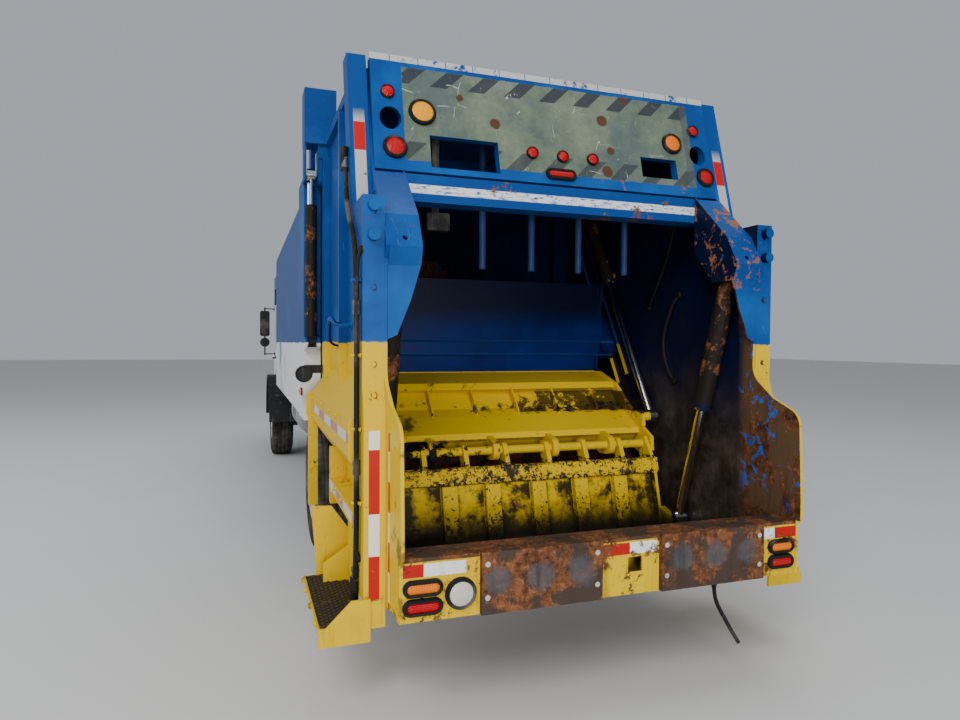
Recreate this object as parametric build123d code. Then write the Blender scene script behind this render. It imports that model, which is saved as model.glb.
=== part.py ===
from build123d import *
import math
import os

os.makedirs("parts", exist_ok=True)

# Rear-loading refuse truck. The cab faces -Y, the hopper faces +Y, the left side is +X.
# The origin is on the ground, at the middle of the truck's length and width. Millimetres.

length = 9400.0            # bumper face to the rearmost steel
rear_proud = 30.0          # ears and bumper plates stand this far behind the sill's edge
running_gap = 0.05         # radial gap of a shaft in its bore
guide_gap = 0.5            # gap of a shoe or runner in its guide
seat_gap = 0.3             # gap between separate solids that seat on each other
seal_gap = 8.0             # open joint between the closed tailgate and the body
side_gap = 8.0             # gap beside a moving cylinder, rod eye or panel

# Wheels
tyre_radius = 525.0
front_tyre_width = 300.0
rear_tyre_width = 270.0
tyre_shoulder = 45.0
rim_radius = 290.0         # seat of the tyre
rim_wall = 18.0
disc_wall = 16.0
front_wheel_x = 1100.0     # middle of the front tyre
rear_outer_x = 995.0       # middle of the outer twin
rear_inner_x = 680.0       # middle of the inner twin
front_axle_at = 1370.0     # behind the bumper face
wheelbase = length - 4440.0
kingpin_x = 900.0
kingpin_radius = 22.0
spindle_radius = 40.0
rear_spindle_radius = 50.0

# Chassis
rail_x = 390.0             # middle of a rail's web
rail_width = 80.0
rail_wall = 10.0
rail_height = 260.0
rail_top = 1040.0
leaf_wide = 70.0
leaf_thick = 14.0
tank_radius = 230.0
tank_x = 800.0
tank_z = 790.0
bumper_low = 380.0
bumper_top = 660.0

# Body, the packed load's box
body_half = 1210.0
body_wall = 40.0
body_low = 1100.0
body_top = 2950.0
body_corner = 160.0
body_front_ahead = length - 2250.0  # its front wall, ahead of the sill's edge
body_rear_ahead = 2580.0   # the plane where body and tailgate meet
hoop_ahead = body_rear_ahead + 470.0  # front of the rear hoop
hoop_proud = 10.0
floor_top = 1160.0

# Tailgate
wall_in = body_half - 175.0  # inner face of a side wall
wall_out = wall_in + 15.0    # outer face of a side wall
post_out = wall_out + 100.0  # outer face of a post
post_top = 2370.0          # top of a post's straight lower part
beam_out = post_out + 30.0   # outer face of the upper side beam
beam_far = body_rear_ahead - 150.0  # its far end, ahead of the sill's edge
lift_x = body_half - 35.0    # middle plane of a lift cylinder
eye_cheek_out = lift_x + 55.0  # outer face of the cheek beside the lift cylinder's eye
step_out = post_out + 200.0
step_near = 288.0
step_far = 1030.0
step_z = 425.0             # top of the step's grip platform
hose_radius = 13.0
thin_hose_radius = 7.0
sill_hose_radius = 10.0
hose_clear = 3.0           # a hose stands off its face between its fittings
# (ahead, Z) of the post's two hoses, and (X, ahead, Z) of the one under the sill
post_hose_line = [(790, 2640), (735, 2450), (650, 2330), (455, 2180), (402, 1980), (388, 1700), (392, 1300),
                  (384, 900), (410, 640), (424, 540)]
thin_hose_line = [(1120, 2620), (1060, 2400), (960, 2240), (860, 2000), (800, 1780), (770, 1560)]
sill_hose_line = [(-590, 75, 506), (-590, 75, 452), (-604, 76, 398), (-630, 78, 350), (-660, 77, 302),
                  (-690, 74, 252), (-717, 72, 208), (-746, 73, 168)]
sill_top = 795.0
sill_low = 524.0
roof_z = 3160.0
hinge_ahead = body_rear_ahead + 170.0
hinge_z = 3250.0
hinge_pin_radius = 30.0

# Carriage, its slide and the blade
slide_angle = 58.5         # of the slide above the level, top forward
slide_travel = 780.0
track_half = 58.0          # half the width between a track's two bars
panel_half = wall_in - 130.0  # half width of carriage and blade
plate = 12.0
pivot_ahead = 1160.0       # the blade's hinge
pivot_z = 1040.0
pivot_radius = 26.0
slide_eye_ahead = 1235.0
slide_eye_z = 1210.0
slide_barrel_start = 1125.0  # along the slide from the rod's eye to the barrel's mouth
slide_barrel_radius = 45.0
slide_rod_radius = 26.0
cylinder_x = wall_in - 63.0  # middle plane of the slide and sweep cylinders

# Sweep cylinders
sweep_top_ahead = 429.0
sweep_top_z = 2186.0
sweep_eye_ahead = 915.0
sweep_eye_z = 590.0
sweep_barrel_length = 914.0
sweep_barrel_radius = 55.0
sweep_rod_radius = 27.0
ear_hole_x = wall_in - 75.0  # round hole in the cover of the sweep cylinder's head
ear_hole_ahead = 307.5
ear_hole_z = 2180.0
ear_hole_radius = 12.0
cheek_in = wall_in - 155.0   # inner face of the bracket plate beside the sweep cylinder's head

# Lift cylinders
lift_ahead = body_rear_ahead - 80.0
lift_foot_z = 1700.0
lift_eye_z = 2950.0
lift_barrel_length = 1000.0
lift_barrel_radius = 43.0
lift_rod_radius = 27.0

# Cab
cab_half = 1150.0
cab_wall = 50.0
cab_front_at = 60.0        # behind the bumper face
cab_rear_at = 1800.0
cab_top = 2780.0
cab_arch_z = 1260.0        # underside of the cab above the front wheels
skirt_low = 720.0
skirt_rear_at = 660.0      # rear end of the low part of the cab's side
door_front_at = 150.0
door_rear_at = 950.0
door_low = 770.0
door_top = 2640.0
door_gap = 6.0
tilt_at = 165.0
tilt_z = 720.0
tilt_pin_radius = 25.0


def fore(distance):
    """Y of a place so far behind the bumper's face."""
    return distance - length / 2


def aft(distance):
    """Y of a place so far ahead of the sill's rear edge."""
    return length / 2 - rear_proud - distance


def block(x, y, z):
    middle = Pos((x[0] + x[1]) / 2, (y[0] + y[1]) / 2, (z[0] + z[1]) / 2)
    return middle * Box(abs(x[1] - x[0]), abs(y[1] - y[0]), abs(z[1] - z[0]))


def both(x):
    """The same stretch on the two sides of the truck."""
    return [x, (-x[1], -x[0])]


def slab_x(points, x, radii=0.0):
    """Closed outline in (Y, Z), carried along X."""
    outline = FilletPolyline(*[(x[0], y, z) for y, z in points], radius=radii, close=True)
    return extrude(make_face(outline), amount=x[1] - x[0], dir=(1, 0, 0))


def slab_y(points, y, radii=0.0):
    """Closed outline in (X, Z), carried along Y."""
    outline = FilletPolyline(*[(x, y[0], z) for x, z in points], radius=radii, close=True)
    return extrude(make_face(outline), amount=y[1] - y[0], dir=(0, 1, 0))


def slab_z(points, z, radii=0.0):
    """Closed outline in (X, Y), carried along Z."""
    outline = FilletPolyline(*[(x, y, z[0]) for x, y in points], radius=radii, close=True)
    return extrude(make_face(outline), amount=z[1] - z[0], dir=(0, 0, 1))


def tail(points):
    """(ahead, Z) pairs of the rear end as (Y, Z) pairs."""
    return [(aft(ahead), z) for ahead, z in points]


def shaft_x(y, z, radius, x):
    return Pos((x[0] + x[1]) / 2, y, z) * Rot(0, 90, 0) * Cylinder(radius, abs(x[1] - x[0]))


def shaft(start, end, radius):
    run = Vector(*end) - Vector(*start)
    low = (Align.CENTER, Align.CENTER, Align.MIN)
    return Plane(origin=start, z_dir=run) * Cylinder(radius, run.length, align=low)


def other_side(shape):
    return mirror(shape, about=Plane.YZ)


def offset_points(points, distance):
    """The points moved sideways, to the left of the way, with mitred corners."""
    moved = []
    count = len(points)
    for index in range(count):
        before = points[max(index - 1, 0)]
        here = points[index]
        after = points[min(index + 1, count - 1)]
        normals = []
        for first, second in ((before, here), (here, after)):
            run = math.hypot(second[0] - first[0], second[1] - first[1])
            if run > 0:
                normals.append((-(second[1] - first[1]) / run, (second[0] - first[0]) / run))
        if len(normals) == 1:
            normals = normals * 2
        share = 1 + normals[0][0] * normals[1][0] + normals[0][1] * normals[1][1]
        moved.append((here[0] + distance * (normals[0][0] + normals[1][0]) / share,
                      here[1] + distance * (normals[0][1] + normals[1][1]) / share))
    return moved


def sheet_x(points, x, thickness, radii=None):
    """Folded sheet: a path in (Y, Z), thickened to its left and carried along X."""
    other = offset_points(points, thickness)
    if radii is None:
        return slab_x(points + other[::-1], x)
    turned = []
    for index, radius in enumerate(radii):
        if radius == 0:
            turned.append(0.0)
            continue
        a, b, c = points[index - 1], points[index], points[index + 1]
        turn = (b[0] - a[0]) * (c[1] - b[1]) - (b[1] - a[1]) * (c[0] - b[0])
        turned.append(radius - thickness if turn > 0 else radius + thickness)
    return slab_x(points + other[::-1], x, list(radii) + turned[::-1])


def ring_x(y, z, outer, inner, x):
    return shaft_x(y, z, outer, x) - shaft_x(y, z, inner, (x[0] - 1, x[1] + 1))


# Places that several pieces share
front_axle_y = fore(front_axle_at)
rear_axle_y = front_axle_y + wheelbase
body_front_y = aft(body_front_ahead)
body_rear_y = aft(body_rear_ahead)
hoop_y = aft(hoop_ahead)
hoop_half = body_half + hoop_proud
hoop_top = body_top + hoop_proud
mouth_half = body_half - 115.0  # half width of the hoop's opening
tailgate_front = body_rear_ahead - seal_gap
hinge_y = aft(hinge_ahead)
slide_forward = math.cos(math.radians(slide_angle))
slide_up = math.sin(math.radians(slide_angle))
tilt_y = fore(tilt_at)

nodes = {}


def keep(name, *solids):
    nodes[name] = solids[0] if len(solids) == 1 else Compound(children=list(solids))


# Wheels

def make_tyre(x, width):
    """Tyre as a ring with rounded shoulders, seated on its rim."""
    tyre = ring_x(0, tyre_radius, tyre_radius, rim_radius + seat_gap, (x - width / 2, x + width / 2))
    shoulders = [edge for edge in tyre.edges().filter_by(GeomType.CIRCLE) if edge.radius > tyre_radius - 1]
    tyre = fillet(shoulders, tyre_shoulder)
    middle = Pos(0, 0, tyre_radius)
    return middle * Rot(37, 0, 0) * Pos(0, 0, -tyre_radius) * tyre


def make_rim(x, width, disc_x):
    barrel = (x - width / 2 + 10, x + width / 2 - 10)
    rim = ring_x(0, tyre_radius, rim_radius, rim_radius - rim_wall, barrel)
    disc = shaft_x(0, tyre_radius, rim_radius - rim_wall / 2, (disc_x, disc_x + disc_wall))
    for turn in range(0, 360, 72):
        hole = Pos(disc_x, 0, tyre_radius) * Rot(turn, 0, 0) * Pos(0, 0, 205) * Rot(0, 90, 0)
        disc -= hole * Cylinder(30, disc_wall * 4)
    return rim + disc


def make_front_wheel():
    disc_x = front_wheel_x + 70
    rim = make_rim(front_wheel_x, front_tyre_width, disc_x)
    rim += shaft_x(0, tyre_radius, 110, (kingpin_x + 90, disc_x + 45))
    rim -= shaft_x(0, tyre_radius, spindle_radius + running_gap, (kingpin_x, disc_x + 20))
    return make_tyre(front_wheel_x, front_tyre_width), rim


def make_rear_wheel():
    tyres = [make_tyre(x, rear_tyre_width) for x in (rear_outer_x, rear_inner_x)]
    outer_disc = rear_outer_x - rear_tyre_width / 2 + 10
    inner_disc = rear_inner_x + rear_tyre_width / 2 - 10 - disc_wall
    rim = make_rim(rear_outer_x, rear_tyre_width, outer_disc)
    rim += make_rim(rear_inner_x, rear_tyre_width, inner_disc)
    rim += shaft_x(0, tyre_radius, 135, (inner_disc - 70, outer_disc + 120))
    rim -= shaft_x(0, tyre_radius, rear_spindle_radius + running_gap, (0, outer_disc + 90))
    return Compound(children=tyres), rim


def make_knuckle():
    """Steering knuckle: fork over the axle's eye, kingpin, carrier and spindle."""
    z = tyre_radius
    arms = [block((kingpin_x - 40, kingpin_x + 75), (-45, 45), (low, low + 30))
            for low in (z - 100, z + 70)]
    carrier = block((kingpin_x + 55, kingpin_x + 75), (-60, 60), (z - 100, z + 100))
    pin = Pos(kingpin_x, 0, z) * Cylinder(kingpin_radius, 200)
    spindle = shaft_x(0, z, spindle_radius, (kingpin_x + 60, front_wheel_x + 80))
    return arms[0] + arms[1] + carrier + pin + spindle


front_tyre, front_rim = make_front_wheel()
rear_tyres, rear_rim = make_rear_wheel()
knuckle = make_knuckle()
for side in ("left", "right"):
    turned = other_side if side == "right" else (lambda shape: shape)
    place = Pos(0, front_axle_y, 0)
    keep("tyre_front_" + side, turned(place * front_tyre))
    keep("rim_front_" + side, turned(place * front_rim))
    keep("knuckle_" + side, turned(place * knuckle))
    place = Pos(0, rear_axle_y, 0)
    keep("tyres_rear_" + side, turned(place * rear_tyres))
    keep("rim_rear_" + side, turned(place * rear_rim))


# Chassis

def make_frame():
    """Two channel rails with the cab's pivot brackets, and cross members seated between their webs."""
    low = rail_top - rail_height
    ends = (tilt_y - 50, body_rear_y - 60)
    half = rail_x + rail_width / 2
    rails = []
    for side in (1, -1):
        web = side * half
        inner = web - side * rail_width
        rail = block((web - side * rail_wall, web), ends, (low, rail_top))
        for z in (low, rail_top - rail_wall):
            rail += block((inner, web), ends, (z, z + rail_wall))
        bracket = [(tilt_y - 50, rail_top - 40), (tilt_y - 50, tilt_z - 40), (tilt_y + 50, tilt_z - 40),
                   (tilt_y + 50, rail_top - 40)]
        rail += slab_x(bracket, sorted((web, web + side * 14)), [0, 38, 38, 0])
        rail += shaft_x(tilt_y, tilt_z, tilt_pin_radius, (web, web + side * 75))
        rails.append(rail)
    reach = half - rail_wall - seat_gap
    member_ys = [fore(620), fore(2300), fore(3000), fore(3900), fore(5000), rear_axle_y, body_rear_y - 120]
    members = [block((-reach, reach), (y - 50, y + 50), (low + 40, rail_top - 40)) for y in member_ys]
    return rails + members


def leaf_spring(side, axle_y, seat_z, count):
    """Stack of leaves on its seat, with a hanger at each end up to the rail."""
    x = (side * (rail_x - leaf_wide / 2), side * (rail_x + leaf_wide / 2))
    spring = block(x, (axle_y - 60, axle_y + 60), (seat_z - 35, seat_z))
    longest = 640
    top_leaf = seat_z - 5 + (count - 1) * leaf_thick
    for index in range(count):
        reach = longest - index * 120
        low = top_leaf - index * leaf_thick
        spring += block(x, (axle_y - reach, axle_y + reach), (low, low + leaf_thick))
    for end in (-1, 1):
        hanger_y = axle_y + end * (longest - 40)
        spring += block(x, (hanger_y - 40, hanger_y + 40), (top_leaf, rail_top - rail_height - seat_gap))
    return spring


def make_front_axle():
    y, z = front_axle_y, tyre_radius
    axle = block((-kingpin_x + 40, kingpin_x - 40), (y - 45, y + 45), (z - 55, z + 45))
    for side in (1, -1):
        axle += Pos(side * kingpin_x, y, z) * Cylinder(50, 130)
        axle += leaf_spring(side, y, z + 75, 4)
    for side in (1, -1):
        axle -= Pos(side * kingpin_x, y, z) * Cylinder(kingpin_radius + running_gap, 400)
    return axle


def make_rear_axle():
    """Driven axle: tube, round housing, spindles and springs, with the shaft from the gearbox."""
    y, z = rear_axle_y, tyre_radius
    hub_end = rear_inner_x + rear_tyre_width / 2 - 10 - disc_wall - 70
    spindle_end = rear_outer_x - rear_tyre_width / 2 + 90
    axle = shaft_x(y, z, 65, (-hub_end + side_gap, hub_end - side_gap))
    axle += shaft_x(y, z, rear_spindle_radius, (-spindle_end, spindle_end))
    axle += Pos(0, y, z) * Rot(0, 90, 0) * Cylinder(190, 150)
    for side in (1, -1):
        axle += leaf_spring(side, y, z + 95, 6)
    prop_y = (fore(2115), y - 150)
    return axle + shaft((0, prop_y[0], 720), (0, prop_y[1], z + 40), 45)


def make_fuel_tank():
    """Round tank under the body's left side, on two brackets from the rail."""
    y = (fore(2500), fore(3700))
    tank = Pos(tank_x, (y[0] + y[1]) / 2, tank_z) * Rot(90, 0, 0) * Cylinder(tank_radius, y[1] - y[0])
    tank = fillet(tank.edges().filter_by(GeomType.CIRCLE), 30)
    for at in (y[0] + 250, y[1] - 250):
        strap = ring_x_to_y(tank_x, tank_z, tank_radius + 8, tank_radius - 1, (at - 30, at + 30))
        arm = block((rail_x + rail_width / 2, tank_x - tank_radius + 40), (at - 30, at + 30), (820, 900))
        tank += strap + arm
    return tank


def ring_x_to_y(x, z, outer, inner, y):
    """Ring about an axis along Y."""
    place = Pos(x, (y[0] + y[1]) / 2, z) * Rot(90, 0, 0)
    return place * (Cylinder(outer, y[1] - y[0]) - Cylinder(inner, y[1] - y[0] + 2))


def make_battery_box():
    """Battery box and air tank on the rail's right side."""
    half = rail_x + rail_width / 2
    box = block((-1060, -half), (fore(2500), fore(3150)), (560, 960))
    box = fillet(box.edges().filter_by(Axis.Y).sort_by(Axis.X)[:2], 40)
    tank = Pos(-760, fore(3650), 760) * Rot(90, 0, 0) * Cylinder(150, 700)
    tank += block((-640, -half), (fore(3400), fore(3460)), (700, 820))
    tank += block((-640, -half), (fore(3840), fore(3900)), (700, 820))
    return Compound(children=[box, tank])


def make_exhaust():
    """Upright silencer and pipe behind the cab, on a bracket from the rail."""
    x, y = -820, (fore(cab_rear_at) + body_front_y) / 2
    stack = Pos(x, y, 1820) * Cylinder(115, 1000)
    stack += Pos(x, y, 2650) * Cylinder(55, 760)
    stack += Pos(x, y, 1180) * Cylinder(55, 400)
    stack += block((x - 60, -rail_x - rail_width / 2), (y - 60, y + 60), (900, 990))
    stack -= Pos(x, y, 2950) * Cylinder(48, 400)
    return stack


def make_engine():
    low = rail_top - rail_height
    engine = block((-310, 310), (fore(900), fore(2100)), (low - 140, 1480))
    web = rail_x + rail_width / 2 - rail_wall - seat_gap
    for y in (fore(1150), fore(1950)):
        engine += block((-web, web), (y - 40, y + 40), (low + 60, low + 150))
    return engine


def make_fenders():
    """Dark arches over the front wheels, each on two bars from the rail."""
    arch_in, arch_out = 655.0, 680.0
    x = (955.0, 1300.0)
    arches = []
    for side in (1, -1):
        stretch = x if side > 0 else (-x[1], -x[0])
        arch = ring_x(front_axle_y, tyre_radius, arch_out, arch_in, stretch)
        arch -= block((-1400, 1400), (front_axle_y - 700, front_axle_y + 700), (-200, tyre_radius + 30))
        for turn in (28, 152):
            y = front_axle_y - (arch_out + 4) * math.cos(math.radians(turn))
            z = tyre_radius + (arch_out + 4) * math.sin(math.radians(turn))
            reach = (side * (rail_x + rail_width / 2), side * (x[0] + 60))
            arch += shaft_x(y, z, 20, reach)
        arches.append(arch)
    return Compound(children=arches)


def make_bumper():
    """Front bumper, a folded channel on two brackets, and its two headlamps."""
    low, top = bumper_low, bumper_top
    half = 1200.0
    face = slab_z([(-half, fore(150)), (-half, fore(55)), (-half + 110, fore(0)), (half - 110, fore(0)),
                   (half, fore(55)), (half, fore(150)), (half - 25, fore(150)), (half - 25, fore(62)),
                   (half - 118, fore(20)), (-half + 118, fore(20)), (-half + 25, fore(62)),
                   (-half + 25, fore(150))], (low, top))
    lamps = []
    for side in (1, -1):
        pocket = (side * 700, side * 980)
        face -= block(pocket, (fore(-5), fore(40)), (low + 70, top - 90))
        inset = (pocket[0] + side * seat_gap, pocket[1] - side * seat_gap)
        lamp = block(inset, (fore(2), fore(50)), (low + 70 + seat_gap, top - 90 - seat_gap))
        lamps.append(lamp + block((pocket[0] - side * 20, pocket[1] + side * 20), (fore(20) + seat_gap, fore(52)),
                                  (low + 50, top - 70)))
        rail = (side * (rail_x - 35), side * (rail_x + 35))
        face += block(rail, (fore(18), fore(340)), (low + 60, low + 180))
        face += block(rail, (fore(250), fore(340)), (low + 60, rail_top - rail_height - seat_gap))
    return face, Compound(children=lamps)


keep("chassis_frame", *make_frame())
keep("front_axle", make_front_axle())
keep("rear_axle", make_rear_axle())
keep("engine_block", make_engine())
keep("fuel_tank", make_fuel_tank())
keep("battery_box", make_battery_box())
keep("exhaust_stack", make_exhaust())
keep("front_fenders", make_fenders())
bumper, headlamps = make_bumper()
keep("front_bumper", bumper)
keep("headlamps", headlamps)


# Body

def make_body_floor():
    y = (body_front_y, hoop_y)
    inside = body_half - body_wall
    floor = block((-inside, inside), y, (body_low + 10, floor_top))
    for side in (1, -1):
        sill = (side * (rail_x - 35), side * (rail_x + 35))
        floor += block(sill, y, (rail_top, body_low + 12))
    return floor


def make_body_shell():
    """Sides and roof, one bent skin of even thickness."""
    inside = body_half - body_wall
    outer = [(-body_half, body_low), (body_half, body_low), (body_half, body_top), (-body_half, body_top)]
    inner = [(-inside, body_low - 5), (inside, body_low - 5), (inside, body_top - body_wall),
             (-inside, body_top - body_wall)]
    y = (body_front_y, hoop_y)
    shell = slab_y(outer, y, [0, 0, body_corner, body_corner])
    return shell - slab_y(inner, (y[0] - 5, y[1] + 5), [0, 0, body_corner - body_wall, body_corner - body_wall])


def make_bulkhead():
    inside = body_half - body_wall
    y = (body_front_y, body_front_y + body_wall)
    wall = slab_y([(-inside, floor_top), (inside, floor_top), (inside, body_top - body_wall),
                   (-inside, body_top - body_wall)], y, [0, 0, body_corner - body_wall, body_corner - body_wall])
    return wall


def make_rear_frame():
    """Hoop round the body's mouth, with the tailgate's hinge cheeks and the lift cylinders' feet."""
    y = (hoop_y, body_rear_y)
    hoop = block((-hoop_half, hoop_half), y, (body_low, hoop_top))
    hoop -= block((-mouth_half, mouth_half), (y[0] - 5, y[1] + 5), (floor_top, body_top - body_wall))
    for side in (1, -1):
        sill = (side * (rail_x - 35), side * (rail_x + 35))
        hoop += block(sill, (y[0], y[1] - 60), (rail_top, body_low + 2))
        for x in ((wall_out - 35, wall_out), (wall_out + 75, wall_out + 110)):
            cheek_x = x if side > 0 else (-x[1], -x[0])
            foot = [(hinge_y - 80, hoop_top - 5), (hinge_y + 80, hoop_top - 5), (hinge_y + 80, hinge_z + 78),
                    (hinge_y - 80, hinge_z + 78)]
            hoop += slab_x(foot, cheek_x, [0, 0, 76, 76])
        hoop += shaft_x(hinge_y, hinge_z, hinge_pin_radius, (side * (wall_out - 40), side * (wall_out + 120)))
        for x in ((lift_x - 65, lift_x - 45), (lift_x + 30, lift_x + 45)):
            ear_x = x if side > 0 else (-x[1], -x[0])
            ear = tail([(body_rear_ahead + 20, lift_foot_z - 70), (lift_ahead - 50, lift_foot_z - 40),
                        (lift_ahead - 50, lift_foot_z + 36), (lift_ahead + 60, lift_foot_z + 36),
                        (body_rear_ahead + 20, lift_foot_z + 90)])
            hoop += slab_x(ear, ear_x, [0, 34, 34, 0, 0])
        foot_pin = (side * (lift_x - 65), side * (lift_x + 45))
        hoop += shaft_x(aft(lift_ahead), lift_foot_z, 25, foot_pin)
    return hoop


def make_ejector():
    """Push panel that empties the body: a raked face on a deep frame, held just clear of the walls."""
    inside = body_half - body_wall - 12
    back = body_front_y + body_wall + 60
    panel = sheet_x([(back + 620, floor_top + 12), (back + 620, floor_top + 160), (back + 320, 1950),
                     (back + 320, body_top - body_wall - 40)], (-inside + body_corner, inside - body_corner), 25)
    panel += sheet_x([(back + 620, floor_top + 12), (back + 620, floor_top + 160), (back + 320, 1950),
                      (back + 320, body_top - body_wall - body_corner - 10)], (-inside, inside), 25)
    for x in ((-inside, -inside + 30), (-400, -370), (370, 400), (inside - 30, inside)):
        web = [(back, floor_top + guide_gap), (back + 600, floor_top + guide_gap), (back + 600, floor_top + 160),
               (back + 300, 1950), (back + 300, 2500), (back + 200, 2500), (back, 1500)]
        panel += slab_x(web, x)
    return panel


keep("body_floor", make_body_floor())
keep("body_shell", make_body_shell())
keep("body_bulkhead", make_bulkhead())
keep("body_rear_frame", make_rear_frame())
keep("ejector_panel", make_ejector())


# Tailgate

hopper_line = [(158, 560), (620, 425), (1080, 405), (1830, 1130), (tailgate_front, 1130)]
hopper_radii = [0, 250, 380, 300, 0]


def make_tailgate_sides():
    """Inner side walls with the rear ears' curved outline."""
    # ahead of the sill's edge, height, corner radius
    outline = [(tailgate_front, 1100, 0), (tailgate_front, roof_z, 0), (900, roof_z, 0), (668, 2575, 0),
               (375, 2300, 0), (285, 2140, 0), (327, 2084, 0), (329, 1840, 100), (335, 1530, 120),
               (176, 1414, 60), (-10, 1340, 90), (-rear_proud, 900, 0), (-rear_proud, sill_top, 0),
               (0, sill_top, 0), (0, sill_low, 0), (150, sill_low, 0), (620, 412, 250), (1090, 392, 390),
               (1835, 1100, 300)]
    points = tail([(ahead, z) for ahead, z, radius in outline])
    return [slab_x(points, x, [radius for ahead, z, radius in outline]) for x in both((wall_in, wall_out))]


def make_tailgate_posts():
    """Posts, side beams, columns and corner posts outside the side walls."""
    column_out = wall_out + 50
    left = slab_x(tail([(290, sill_low), (290, 1380), (330, 1500), (330, post_top), (625, post_top),
                        (853, 3207), (983, 3207), (765, 2340), (460, 2150), (460, sill_low)]),
                  (wall_out, post_out))
    for z in (2320, sweep_top_z):
        left += Pos(post_out - 48, aft(312), z) * Rot(90, 0, 0) * Cylinder(27, 44)
    # upper beam: a sloped top, an upright face and an underside that slants back to the wall
    left += slab_y([(wall_out, 1500), (beam_out, 1330), (beam_out, 1140), (wall_out, 960)],
                   (aft(beam_far), aft(460)))
    left += block((wall_out, post_out), (aft(460), aft(1500)), (780, 860))
    # columns at the middle and at the front of the frame: near end, far end, outer face, low, high
    for near, far, outer, low, high in ((1500, 1560, post_out, 700, 1050),
                                        (1500, 1560, column_out, 1400, roof_z - 30),
                                        (beam_far - 100, beam_far, column_out, 1400, 3050)):
        left += block((wall_out, outer), (aft(near), aft(far)), (low, high))
    left += block((beam_out - 46, beam_out + 20), (aft(beam_far - 30), aft(beam_far + 30)), (490, 1150))
    left += block((wall_out, wall_out + 35), (aft(900), aft(beam_far - 100)), (roof_z - 30, roof_z + 30))
    return [left, other_side(left)]


def make_tailgate_ears():
    """Bracket cheek beside the sweep cylinder's head, its folded cover and pin, and the slide's tracks."""
    cheek = slab_x(tail([(665, 2572), (375, 2300), (285, 2140), (320, 2055), (500, 2060), (665, 2250)]),
                   (cheek_in, cheek_in + plate))
    cover = sheet_x(tail([(320, 2055), (285, 2140), (375, 2300), (653, 2561)]), (cheek_in, wall_in), plate)
    # the hole is square to the cover's middle fold, which climbs 160 in 90 ahead
    rise = math.atan2(90, 160)
    ear_hole_ends = [(ear_hole_x, aft(ear_hole_ahead) + math.cos(rise) * end, ear_hole_z + math.sin(rise) * end)
                     for end in (-40, 40)]
    cover -= shaft(ear_hole_ends[0], ear_hole_ends[1], ear_hole_radius)
    ear = cheek + cover + shaft_x(aft(sweep_top_ahead), sweep_top_z, 24, (cheek_in - 4, wall_in))
    solids = [ear, other_side(ear)]
    for offset in (-track_half - 12, track_half + 12):
        start = (1700 + offset * slide_up, 1440 - offset * slide_forward)
        run = 1340
        end = (start[0] + run * slide_forward, start[1] + run * slide_up)
        across = (slide_up * 12, -slide_forward * 12)
        bar = tail([(start[0] - across[0], start[1] - across[1]), (start[0] + across[0], start[1] + across[1]),
                    (end[0] + across[0], end[1] + across[1]), (end[0] - across[0], end[1] - across[1])])
        track = slab_x(bar, (wall_in - 25, wall_in))
        solids += [track, other_side(track)]
    return solids


def make_tailgate_towers():
    """Tower above the lift cylinder's eye, the eye's two cheeks, and the tailgate's hinge arm and lug."""
    tower = block((wall_in - 35, eye_cheek_out), (aft(lift_ahead - 100), aft(tailgate_front + 30)),
                  (roof_z + seat_gap, 3560))
    tower += block((wall_out, lift_x - 45), (aft(beam_far), aft(tailgate_front)), (3060, roof_z + 1))
    tower += block((eye_cheek_out - 15, eye_cheek_out), (aft(lift_ahead - 80), aft(lift_ahead + 70)),
                   (2890, roof_z + 1))
    arm = tail([(lift_ahead, 3175), (hinge_ahead + 70, 3180), (hinge_ahead + 70, 3320), (lift_ahead, 3420)])
    tower += slab_x(arm, (wall_out + 10, wall_out + 65), [0, 68, 68, 0])
    lug = tail([(lift_ahead - 60, 2870), (lift_ahead + 60, 2870), (lift_ahead + 60, 3065),
                (lift_ahead - 60, 3065)])
    tower += slab_x(lug, (wall_out, lift_x - 45), [40, 40, 0, 0])
    tower -= shaft_x(hinge_y, hinge_z, hinge_pin_radius + running_gap, (wall_out, wall_out + 70))
    return [tower, other_side(tower)]


def pipe(points, radius):
    """Round line of straight runs and tangent arcs through (X, ahead, Z) points."""
    places = [Vector(x, aft(ahead), z) for x, ahead, z in points]
    radii = []
    for before, here, after in zip(places, places[1:], places[2:]):
        turn = math.radians((here - before).get_angle(after - here))
        radii.append(round(0.45 * min((here - before).length, (after - here).length) / math.tan(turn / 2), 1))
    path = FilletPolyline(*places, radius=radii)
    start = Plane(origin=path @ 0, z_dir=path % 0)
    return sweep(start * Circle(radius), path=path), radii


def fitting(x, ahead, z, radius, reach):
    """Upright pipe fitting."""
    return Pos(x, aft(ahead), z) * Cylinder(radius, reach)


def make_hydraulic_lines():
    """Two hoses on the tailgate's left side, each between its fittings."""
    # line, hose radius, fitting radius, fitting length, face that the line lies on
    lines = [(post_hose_line, hose_radius, 20, 120, post_out),
             (thin_hose_line, thin_hose_radius, 12, 60, wall_out)]
    solids = []
    for line, radius, wide, reach, face in lines:
        x = face + radius + seat_gap + hose_clear
        solid, radii = pipe([(x, ahead, z) for ahead, z in line], radius)
        seated = face + wide + seat_gap
        solid += fitting(seated, *line[0], wide, reach)
        solid += fitting(seated, *line[-1], wide, reach)
        solids.append(solid)
    return solids


def make_sill_hose():
    """Loose hose that hangs from its gland under the sill, with a bare end."""
    tube, radii = pipe(sill_hose_line, sill_hose_radius)
    print("sill hose radii", radii, "length", round(tube.volume / (math.pi * sill_hose_radius ** 2)))
    return tube


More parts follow.
